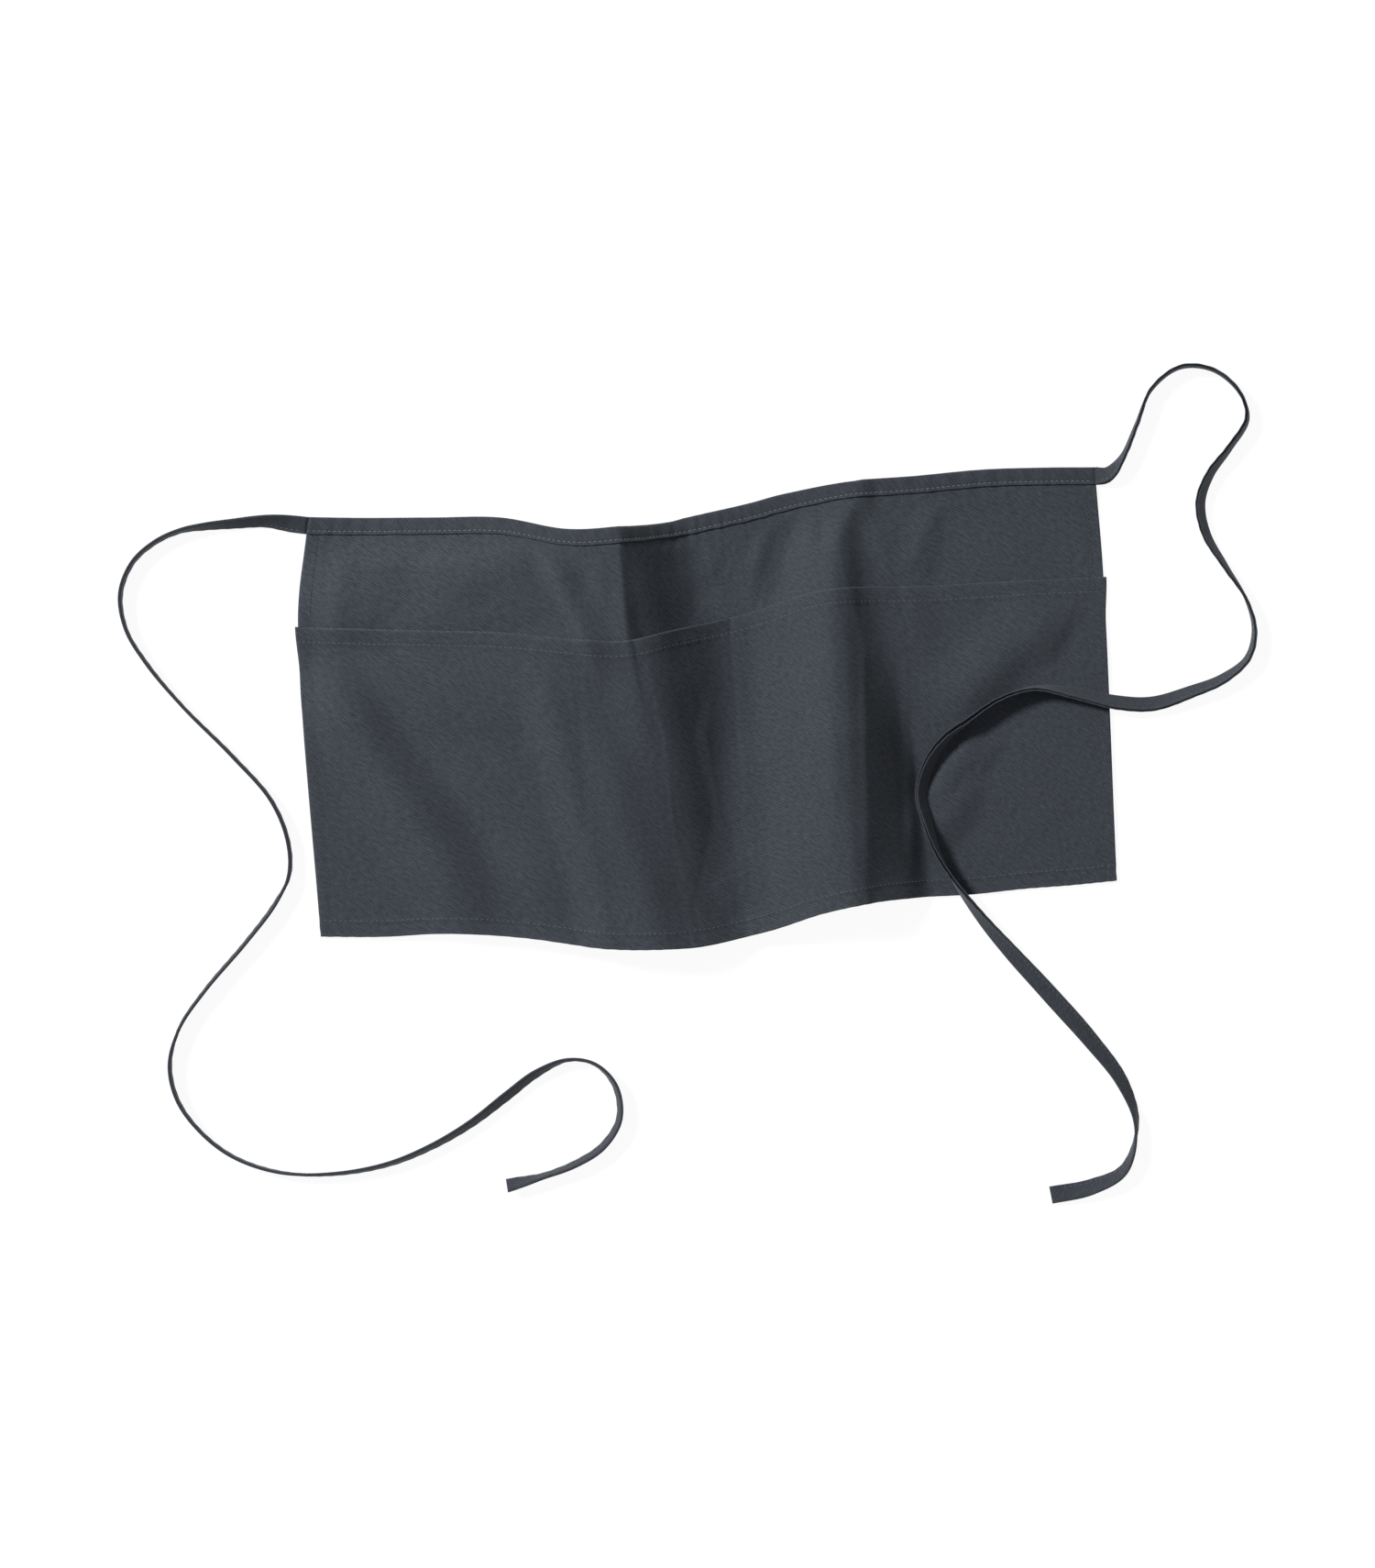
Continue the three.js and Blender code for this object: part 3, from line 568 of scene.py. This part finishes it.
def pocket_under(across, along):
    place, down = cloth_plan(across, along)
    under = body_top(across, along) + normal_of(body_top, across, along) * CLEARANCE
    under[..., 2] += pocket_lift(place, down, along)
    return under


POCKET_WALL = 0.80 * MM
MOUTH_HEM = 0.45 * MM
SEWN_HEM = 0.30 * MM
HEM_STEP = 1.6 * MM
SIDE_HEM_STEP = 1.4 * MM
MOUTH_STITCH_IN = 0.9 * MM
MOUTH_GROOVE = 0.26 * MM
MOUTH_GROOVE_WIDTH = 0.8 * MM
STITCH_PULL = 0.35 * MM
MOUTH_GATHER = 0.12 * MM
MOUTH_GATHER_REACH = 5 * MM
NARROW_GATHER_STEP = 7.6 * MM
# The mouth's edge is rounded off over this depth, down to this share of the wall.
LIP_DEPTH = 0.9 * MM
LIP_SHARE = 0.55


def pocket_wall(across, along):
    from_mouth = (along - MOUTH_ALONG) * DROP
    from_side = np.minimum(across, 1 - across) * SPREAD
    from_bottom = (1 - along) * DROP
    hem = MOUTH_HEM * (1 - smooth((from_mouth - HEM_DEPTH) / HEM_STEP))
    side = SEWN_HEM * (1 - smooth((from_side - SIDE_STITCH - SIDE_HEM_STEP) / SIDE_HEM_STEP))
    bottom = SEWN_HEM * (1 - smooth((from_bottom - HEM_DEPTH) / HEM_STEP))
    from_stitch = from_mouth - HEM_DEPTH + MOUTH_STITCH_IN
    groove = MOUTH_GROOVE * np.exp(-(from_stitch / MOUTH_GROOVE_WIDTH) ** 2)
    wall = POCKET_WALL + np.maximum(np.maximum(hem, side), bottom)
    lip = smooth(from_mouth / LIP_DEPTH)
    near_hem = np.exp(-((from_mouth - HEM_DEPTH) / MOUTH_GATHER_REACH) ** 2)
    gather = MOUTH_GATHER * seam_gather(across * SPREAD, NARROW_GATHER_STEP, phase=1.0) * near_hem
    pulled = wall + gather - groove - STITCH_PULL * seam_pull(across, along)
    return pulled * (LIP_SHARE + (1 - LIP_SHARE) * lip)


def pocket_top(across, along):
    outward = normal_of(pocket_under, across, along)
    return pocket_under(across, along) + outward * pocket_wall(across, along)[..., None]


# Sheets. Their stops are places across or along in shares, each with its steps to the next.
def spaced(stops):
    """Places through stops of (place, steps to the next), without repeats."""
    places = [np.linspace(here, after, steps, endpoint=False)
              for (here, steps), (after, _) in zip(stops[:-1], stops[1:])]
    return np.append(np.concatenate(places), stops[-1][0])


COLUMN_STOPS = [(0.0, 10), (0.025, 80), (0.35, 62), (0.51, 44), (0.67, 44), (0.80, 56), (0.975, 10),
                (1.0, 0)]
columns = spaced(COLUMN_STOPS)
tape_along = TAPE_WIDTH / DROP
hem_along = HEM_DEPTH / DROP
above_hem = 1 - 1.6 * hem_along
BODY_ROWS = spaced([(2.2 * MM / DROP, 3), (tape_along, 40), (MOUTH_ALONG, 76), (above_hem, 14), (1.0, 0)])
POCKET_ROWS = spaced([(MOUTH_ALONG, 4), (MOUTH_ALONG + 1.2 * MM / DROP, 12),
                      (MOUTH_ALONG + 1.3 * hem_along, 66), (above_hem, 16), (1.0, 0)])
BODY_WALL = 0.85 * MM
BODY_HEM = 0.65 * MM
BODY_HEM_STEP = 1.8 * MM
BODY_GROOVE = 0.2 * MM
BODY_GROOVE_WIDTH = 0.9 * MM
# How far the paler edges of the sheets reach, partly wear and partly a painted highlight.
EDGE_WEAR_AND_HIGHLIGHT = 1.5 * MM
MOUTH_WEAR_AND_HIGHLIGHT = 1.1 * MM
# The pocket's upper corners jut out sideways past the body.
JUT = 2.0 * MM
JUT_WIDTH = 16 * MM
JUT_DROP = 34 * MM


def sheet_piece(name, upper, lower, cloth, wear_and_highlight):
    rows, count = upper.shape[:2]
    points = np.concatenate([upper.reshape(-1, 3), lower.reshape(-1, 3)])
    faces = grid_faces(rows, count) + grid_faces(rows, count, rows * count, flip=True)
    under = rows * count
    border = ([row * count for row in range(rows)]
              + [(rows - 1) * count + column for column in range(1, count)]
              + [row * count + count - 1 for row in range(rows - 2, -1, -1)]
              + list(range(count - 2, 0, -1)))
    for here, after in zip(border, border[1:] + border[:1]):
        faces.append([here, here + under, after + under, after])
    both = np.concatenate([cloth.reshape(-1, 2)] * 2)
    wear_and_highlight_both = np.concatenate([wear_and_highlight.ravel()] * 2)
    return mesh_piece(name, points, faces, both, wear_and_highlight_both)


def cloth_coordinates(across, along):
    return np.stack([across * SPREAD, -along * DROP], axis=-1)


def edge_distance(across, along):
    """Distance from the nearest side or bottom edge."""
    return np.minimum(np.minimum(across, 1 - across) * SPREAD, (1 - along) * DROP)


def corner_jut(across, from_mouth):
    left = 1 - smooth(across * SPREAD / JUT_WIDTH)
    right = 1 - smooth((1 - across) * SPREAD / JUT_WIDTH)
    return JUT * (1 - smooth(from_mouth / JUT_DROP)) * (right - left)


def apron_sheet():
    across, along = np.meshgrid(columns, BODY_ROWS)
    out = normal_of(body_top, across, along)
    from_edge = edge_distance(across, along)
    wall = BODY_WALL + BODY_HEM * (1 - smooth((from_edge - HEM_DEPTH) / BODY_HEM_STEP))
    groove = BODY_GROOVE * np.exp(-((from_edge - SIDE_STITCH) / BODY_GROOVE_WIDTH) ** 2)
    upper = body_top(across, along) - out * groove[..., None]
    lower = body_top(across, along) - out * wall[..., None]
    # Paler towards the side and bottom edges, partly wear and partly a painted highlight.
    wear_and_highlight = np.exp(-from_edge / EDGE_WEAR_AND_HIGHLIGHT)
    return sheet_piece("apron_cloth", upper, lower, cloth_coordinates(across, along), wear_and_highlight)


def pocket_sheet():
    across, along = np.meshgrid(columns, POCKET_ROWS)
    from_mouth = (along - MOUTH_ALONG) * DROP
    lower = pocket_under(across, along)
    upper = pocket_top(across, along)
    jut = corner_jut(across, from_mouth)
    upper[..., 0] += jut
    lower[..., 0] += jut
    # Paler towards the edges and the mouth, partly wear and partly a painted highlight along the mouth's
    # edge.
    wear_and_highlight = np.maximum(np.exp(-edge_distance(across, along) / EDGE_WEAR_AND_HIGHLIGHT), np.exp(-from_mouth / MOUTH_WEAR_AND_HIGHLIGHT))
    return sheet_piece("pocket_cloth", upper, lower, cloth_coordinates(across, along), wear_and_highlight)


apron_cloth = apron_sheet()
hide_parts("apron_body")
pocket_cloth = pocket_sheet()
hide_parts("pocket_panel")

# Waistband. Its outline goes round the folded tape: millimetres up from the tape's lower edge, and out
# of the cloth's front.
BAND_OUTLINE = [(0.05, 0.80), (0.0, 1.05), (0.12, 1.42), (0.5, 1.55), (1.3, 1.40), (2.0, 1.08),
                (2.4, 0.80), (2.8, 1.0), (4.0, 1.12), (7.0, 1.10), (10.2, 1.05), (11.4, 0.82),
                (12.2, 0.30), (12.6, -0.45), (12.7, -1.2), (12.5, -2.0), (11.9, -2.6), (11.0, -2.9),
                (6.0, -2.95), (0.6, -2.9), (0.1, -2.7), (0.0, -2.3), (0.1, -1.85), (10.6, -1.8),
                (11.1, -1.3), (11.1, -0.4), (10.6, 0.06), (3.0, 0.10)]
# Both ends reach out over the ties this far, and are thinner there by half, about their middle.
BAND_REACH = 3.0 * MM
BAND_END_SHRINK = 0.5
BAND_MIDDLE = -0.9 * MM
BAND_STEPS = 430
PUCKER = 0.16 * MM
WAVER = 0.22 * MM
WAVER_STEP = 23 * MM
LOW_REACH = 6 * MM
# The tape's lower edge is painted paler over this height, partly wear and partly a painted highlight.
BAND_WEAR_AND_HIGHLIGHT = 1.0 * MM
BAND_WRAP = 0.8


def strip_frame(across):
    """The straight top strip of the cloth in the band: its foot, the way up it and the way out of it."""
    foot = body_top(across, np.full_like(across, tape_along))
    up = unit(body_top(across, np.full_like(across, TAPE_LIFT / DROP)) - foot)
    out = normal_of(body_top, across, np.full_like(across, tape_along))
    out = unit(out - up * np.sum(out * up, axis=-1, keepdims=True))
    return foot, up, out


band_across = np.linspace(0, 1, BAND_STEPS)
foot, up, out = strip_frame(band_across)
outline_up, outline_out = (np.array(BAND_OUTLINE) * MM).T
pucker = PUCKER * seam_gather(band_across * SPREAD, NARROW_GATHER_STEP, phase=0.7)
waver = WAVER * seam_gather(band_across * SPREAD, WAVER_STEP, phase=2.6)
low = 1 - smooth(outline_up / LOW_REACH)[None, :]
section_up = outline_up[None, :] + waver[:, None] * low
puckered = pucker[:, None] * (0.4 + 0.6 * low)
section_out = outline_out[None, :] + np.where(outline_out[None, :] > 0, puckered, 0)
for end in (0, -1):
    section_out[end] = BAND_MIDDLE + (section_out[end] - BAND_MIDDLE) * BAND_END_SHRINK
points = foot[:, None] + up[:, None] * section_up[..., None] + out[:, None] * section_out[..., None]
for end, inner in ((0, 1), (-1, -2)):
    points[end] += unit(points[end] - points[inner]) * BAND_REACH
cloth = np.stack([np.broadcast_to(band_across[:, None] * SPREAD, section_up.shape),
                  section_up + section_out * BAND_WRAP], axis=-1)
# Paler along the tape's lower edge, partly wear and partly a painted highlight.
wear_and_highlight = np.broadcast_to((1 - smooth(outline_up / BAND_WEAR_AND_HIGHLIGHT))[None, :], section_up.shape)
waist_tape = mesh_piece("waist_tape", points.reshape(-1, 3), loft_faces(BAND_STEPS, len(BAND_OUTLINE)),
                        cloth.reshape(-1, 2), wear_and_highlight.ravel())
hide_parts("waistband")

# Stitches. Each is a short tube with rings of place along it, size and rise, in shares of its length and
# its thread.
STITCH_LENGTH = 2.5 * MM
STITCH_PITCH = 3.8 * MM
SIDE_SEAM = {"pitch": 3.2 * MM, "length": 2.4 * MM}
DIVIDER_SEAM = {"pitch": 3.0 * MM, "length": 2.3 * MM}
TACK_SEAM = {"pitch": 1.0 * MM, "length": 2.0 * MM, "skew": 2.2}
THREAD = 0.30 * MM
THREAD_FLATNESS = 0.8
STITCH_SIDES = 6
STITCH_RINGS = np.array([[-0.5, 0.30, -0.6], [-0.36, 0.85, 0.10], [0.0, 1.0, 0.42], [0.36, 0.85, 0.10],
                         [0.5, 0.30, -0.6]])


def stitch_row(points, normals, pitch=STITCH_PITCH, length=STITCH_LENGTH, skew=0.0):
    """Vertices and faces of a row of stitches along a line that lies on the cloth."""
    along = lengths_along(points)
    count = int(along[-1] / pitch)
    middle = (np.arange(count) + 0.5) * pitch
    centre, out = rows_at(middle, along, points), unit(rows_at(middle, along, normals))
    ahead = unit(rows_at(middle + length / 2, along, points) - rows_at(middle - length / 2, along, points))
    side = unit(np.cross(out, ahead))
    ahead = unit(ahead + side * skew)
    side = unit(np.cross(out, ahead))
    verts = []
    for place, size, raise_by in STITCH_RINGS:
        ring_middle = centre + ahead * place * length + out * raise_by * THREAD
        for angle in np.arange(STITCH_SIDES) * TURN / STITCH_SIDES:
            round_it = side * math.cos(angle) + out * math.sin(angle) * THREAD_FLATNESS
            verts.append(ring_middle + round_it * size * THREAD)
    verts = np.stack(verts, axis=1)
    rings = len(STITCH_RINGS)
    one = np.array(grid_faces(rings, STITCH_SIDES, flip=True, close=True))
    offsets = np.arange(count) * rings * STITCH_SIDES
    quads = (one[None] + offsets[:, None, None]).reshape(-1, 4)
    first = np.arange(STITCH_SIDES)[::-1]
    last = (rings - 1) * STITCH_SIDES + np.arange(STITCH_SIDES)
    caps = (np.stack([first, last])[None] + offsets[:, None, None]).reshape(-1, STITCH_SIDES)
    return verts.reshape(-1, 3), quads.tolist() + caps.tolist()


def stitches(name, rows):
    """One piece from several rows of stitches."""
    points, faces, start = [], [], 0
    for verts, row_faces in rows:
        points.append(verts)
        faces += [[corner + start for corner in face] for face in row_faces]
        start += len(verts)
    points = np.concatenate(points)
    return mesh_piece(name, points, faces, points[:, :2], np.zeros(len(points)))


def seam(surface, across, along, **stitch):
    """A row of stitches along a line on a sheet. One of the two places may be a single number."""
    across, along = np.broadcast_arrays(across, along)
    return stitch_row(surface(across, along), normal_of(surface, across, along), **stitch)


# Lines of stitching across the apron and down it, by the number of points that each is laid through.
line_steps = np.linspace(0.004, 0.996, 520)
DOWN_STEPS = 240
TACK_STEPS = 60
TACK_ASIDE = 0.5 * MM
BAND_FACE = 1.0 * MM
LEAF_FACE = 1.02
side_share = SIDE_STITCH / SPREAD
mouth_stitch_along = MOUTH_ALONG + (HEM_DEPTH - MOUTH_STITCH_IN) / DROP
bottom_stitch_along = 1 - HEM_DEPTH / DROP
above_mouth = np.linspace(tape_along + 1 * MM / DROP, MOUTH_ALONG - 0.5 * MM / DROP, DOWN_STEPS)
below_mouth = np.linspace(MOUTH_ALONG + 1 * MM / DROP, bottom_stitch_along, DOWN_STEPS)
tack_down = np.linspace(MOUTH_ALONG + 0.8 * MM / DROP, MOUTH_ALONG + HEM_DEPTH / DROP, TACK_STEPS)

band_line = foot + up * STITCH_IN + out * BAND_FACE + out * pucker[:, None] * 0.8
band_rows = [stitch_row(band_line, out)]
mouth_rows = [seam(pocket_top, line_steps, mouth_stitch_along)]
bottom_rows = [seam(pocket_top, line_steps, bottom_stitch_along)]
side_rows, divider_rows, tack_rows, tie_rows = [], [], [], []
for place in (side_share, 1 - side_share):
    side_rows.append(seam(body_top, place, above_mouth, **SIDE_SEAM))
    side_rows.append(seam(pocket_top, place, below_mouth, **SIDE_SEAM))
for place in DIVIDERS:
    divider_rows.append(seam(pocket_top, place, below_mouth, **DIVIDER_SEAM))
for place in (side_share, *DIVIDERS, 1 - side_share):
    for aside in (-TACK_ASIDE, TACK_ASIDE):
        tack_rows.append(seam(pocket_top, place + aside / SPREAD, tack_down, **TACK_SEAM))
for line, side, out_of_tie, along, open_side in ((left_line, left_side, left_out, left_along, 1),
                                                 (right_line, right_side, right_out, right_along, -1)):
    leaf = LEAF * LEAF_FACE * join_thickness(along)[:, None]
    for face in (1, -1):
        path = line + side * open_side * (TAPE_WIDTH / 2 - STITCH_IN) + out_of_tie * face * leaf
        tie_rows.append(stitch_row(path[2:-4], out_of_tie[2:-4] * face))

light_pieces = [stitches("waist_stitches", band_rows)]
grey_pieces = [stitches("mouth_stitches", mouth_rows),
               stitches("bottom_stitches", bottom_rows),
               stitches("tie_stitches", tie_rows)]
muted_pieces = [stitches("side_stitches", side_rows),
                stitches("divider_stitches", divider_rows),
                stitches("mouth_bartacks", tack_rows)]


# Materials.
def new_material(name):
    material = bpy.data.materials.new(name)
    material.use_nodes = True
    tree = material.node_tree
    tree.nodes.clear()
    shader = tree.nodes.new("ShaderNodeBsdfPrincipled")
    output = tree.nodes.new("ShaderNodeOutputMaterial")
    tree.links.new(shader.outputs["BSDF"], output.inputs["Surface"])
    return material, tree, shader


def math_node(tree, kind, first, second=None, clamp=False):
    node = tree.nodes.new("ShaderNodeMath")
    node.operation = kind
    node.use_clamp = clamp
    for socket, value in zip(node.inputs, (first, second)):
        if value is None:
            continue
        if isinstance(value, (int, float)):
            socket.default_value = value
        else:
            tree.links.new(value, socket)
    return node.outputs[0]


def noise_node(tree, vector, scale, detail=2.0, roughness=0.5):
    node = tree.nodes.new("ShaderNodeTexNoise")
    node.inputs["Scale"].default_value = scale
    node.inputs["Detail"].default_value = detail
    node.inputs["Roughness"].default_value = roughness
    tree.links.new(vector, node.inputs["Vector"])
    return node.outputs["Fac"]


def set_inputs(node, values):
    for name, value in values.items():
        node.inputs[name].default_value = value


def cloth_place(tree):
    """The cloth coordinates of a piece: metres across and along its cloth."""
    node = tree.nodes.new("ShaderNodeUVMap")
    node.uv_map = "cloth"
    return node.outputs["UV"]


def tint(tree, shader, colour, value):
    """Gives the shader a colour times a value."""
    node = tree.nodes.new("ShaderNodeVectorMath")
    node.operation = "SCALE"
    node.inputs[0].default_value = colour
    tree.links.new(value, node.inputs["Scale"])
    tree.links.new(node.outputs["Vector"], shader.inputs["Base Color"])


TWILL_ANGLE = math.radians(33)
TAPE_ANGLE = math.radians(58)
TWILL_PITCH = 1.7 * MM
TWILL_RELIEF = 0.22 * MM
DASH_STRETCH = 0.4
# Scales of the noises, in spots per metre.
WANDER_SCALE = 260.0
DASH_SCALE = 520.0
YARN_SCALE = 1150.0
FLECK_SCALE = 420.0
MOTTLE_SCALE = 34.0
TWIST_SCALE = 2400.0


def twill(name, colour, contrast=0.42, grain=0.62, angle=TWILL_ANGLE):
    """Twill cloth: fine diagonal lines, uneven yarn, soft mottling and paler edges, partly wear and partly
    painted highlight.
    """
    material, tree, shader = new_material(name)
    place = cloth_place(tree)
    split = tree.nodes.new("ShaderNodeSeparateXYZ")
    tree.links.new(place, split.inputs[0])
    cosine, sine = math.cos(angle), math.sin(angle)
    run = math_node(tree, "SUBTRACT", math_node(tree, "MULTIPLY", split.outputs["X"], cosine),
                    math_node(tree, "MULTIPLY", split.outputs["Y"], sine))
    rise = math_node(tree, "ADD", math_node(tree, "MULTIPLY", split.outputs["X"], sine),
                     math_node(tree, "MULTIPLY", split.outputs["Y"], cosine))
    wander = math_node(tree, "MULTIPLY", noise_node(tree, place, WANDER_SCALE, 2.0), 2.4)
    phase = math_node(tree, "ADD", math_node(tree, "MULTIPLY", rise, TURN / TWILL_PITCH), wander)
    lines = math_node(tree, "MULTIPLY", math_node(tree, "SINE", phase), 0.5)
    stretched = tree.nodes.new("ShaderNodeCombineXYZ")
    tree.links.new(math_node(tree, "MULTIPLY", run, DASH_STRETCH), stretched.inputs[0])
    tree.links.new(rise, stretched.inputs[1])
    dashes = noise_node(tree, stretched.outputs[0], DASH_SCALE, 2.0, 0.6)
    yarn = noise_node(tree, place, YARN_SCALE, 2.0, 0.6)
    fleck = noise_node(tree, place, FLECK_SCALE, 3.0, 0.6)
    mottle = noise_node(tree, place, MOTTLE_SCALE, 3.0, 0.55)
    value = math_node(tree, "MULTIPLY", lines, contrast)
    for source, amount in ((dashes, grain), (yarn, grain * 0.9), (fleck, grain * 0.15), (mottle, 0.08)):
        centred = math_node(tree, "MULTIPLY", math_node(tree, "SUBTRACT", source, 0.5), amount * 2)
        value = math_node(tree, "ADD", value, centred)
    # Paler edges, partly wear and partly a painted highlight along hems, the pocket mouth, the tape's lower
    # edge and the ties' open edges.
    wear_and_highlight = tree.nodes.new("ShaderNodeAttribute")
    wear_and_highlight.attribute_name = "wear_and_highlight"
    wear_and_highlight_tone = math_node(tree, "MULTIPLY", wear_and_highlight.outputs["Fac"], math_node(tree, "ADD", fleck, 0.25))
    value = math_node(tree, "ADD", value, math_node(tree, "MULTIPLY", wear_and_highlight_tone, 0.42))
    tint(tree, shader, colour, math_node(tree, "ADD", value, 1.0))
    rough = math_node(tree, "ADD", math_node(tree, "MULTIPLY", yarn, 0.12), 0.80)
    tree.links.new(rough, shader.inputs["Roughness"])
    set_inputs(shader, {"Specular IOR Level": 0.22, "Sheen Weight": 0.10, "Sheen Roughness": 0.5})
    relief = tree.nodes.new("ShaderNodeBump")
    set_inputs(relief, {"Strength": 0.55, "Distance": TWILL_RELIEF})
    height = math_node(tree, "ADD", math_node(tree, "MULTIPLY", lines, 0.7),
                       math_node(tree, "MULTIPLY", yarn, 0.9))
    tree.links.new(height, relief.inputs["Height"])
    tree.links.new(relief.outputs["Normal"], shader.inputs["Normal"])
    return material


def thread(name, colour):
    """Twisted sewing thread, a little glossier than the cloth."""
    material, tree, shader = new_material(name)
    twist = noise_node(tree, cloth_place(tree), TWIST_SCALE, 1.0)
    tint(tree, shader, colour, math_node(tree, "ADD", math_node(tree, "MULTIPLY", twist, 0.5), 0.75))
    set_inputs(shader, {"Roughness": 0.62, "Specular IOR Level": 0.35})
    return material


body_twill = twill("body_twill", (0.0462, 0.0545, 0.0660))
pocket_twill = twill("pocket_twill", (0.0446, 0.0522, 0.0634))
binding = twill("binding_tape", (0.0410, 0.0476, 0.0586), contrast=0.35, grain=0.5, angle=TAPE_ANGLE)
light_thread = thread("light_thread", (0.175, 0.190, 0.208))
grey_thread = thread("grey_thread", (0.105, 0.116, 0.130))
muted_thread = thread("muted_thread", (0.056, 0.064, 0.075))
for material, pieces in ((body_twill, [apron_cloth]), (pocket_twill, [pocket_cloth]),
                         (binding, [waist_tape, left_tie, right_tie]), (light_thread, light_pieces),
                         (grey_thread, grey_pieces), (muted_thread, muted_pieces)):
    for piece in pieces:
        piece.data.materials.append(material)

# Floor and light.
FLOOR_HALF = 4.0
FLOOR_LEVEL = -0.2 * MM
FLOOR_CORNERS = [(-1, -1), (1, -1), (1, 1), (-1, 1)]
floor_mesh = bpy.data.meshes.new("floor")
floor_mesh.from_pydata([(x * FLOOR_HALF, y * FLOOR_HALF, FLOOR_LEVEL) for x, y in FLOOR_CORNERS], [],
                       [(0, 1, 2, 3)])
floor = bpy.data.objects.new("floor", floor_mesh)
bpy.context.scene.collection.objects.link(floor)
floor_material, floor_tree, floor_shader = new_material("pale_floor")
set_inputs(floor_shader, {"Base Color": (0.12, 0.12, 0.12, 1), "Roughness": 1.0, "Specular IOR Level": 0.0,
                          "Emission Color": (1, 1, 1, 1), "Emission Strength": 0.93})
floor_mesh.materials.append(floor_material)

KEY_DISTANCE = 8.0
KEY_ELEVATION = math.radians(42)
KEY_AZIMUTH = math.radians(150)
KEY_SIZE = 1.5
KEY_ENERGY = 640.0
key_data = bpy.data.lights.new("key", "AREA")
key_data.shape = "SQUARE"
key_data.size = KEY_SIZE
key_data.energy = KEY_ENERGY
key = bpy.data.objects.new("key", key_data)
key.location = (KEY_DISTANCE * math.cos(KEY_ELEVATION) * math.cos(KEY_AZIMUTH),
                KEY_DISTANCE * math.cos(KEY_ELEVATION) * math.sin(KEY_AZIMUTH),
                KEY_DISTANCE * math.sin(KEY_ELEVATION))
key.rotation_euler = (math.pi / 2 - KEY_ELEVATION, 0, KEY_AZIMUTH + math.pi / 2)
bpy.context.scene.collection.objects.link(key)

WORLD_STRENGTH = 0.26
world = bpy.data.worlds.new("studio")
bpy.context.scene.world = world
world.use_nodes = True
set_inputs(world.node_tree.nodes["Background"], {"Color": (1, 1, 1, 1), "Strength": WORLD_STRENGTH})
bpy.context.scene.view_settings.view_transform = "Standard"
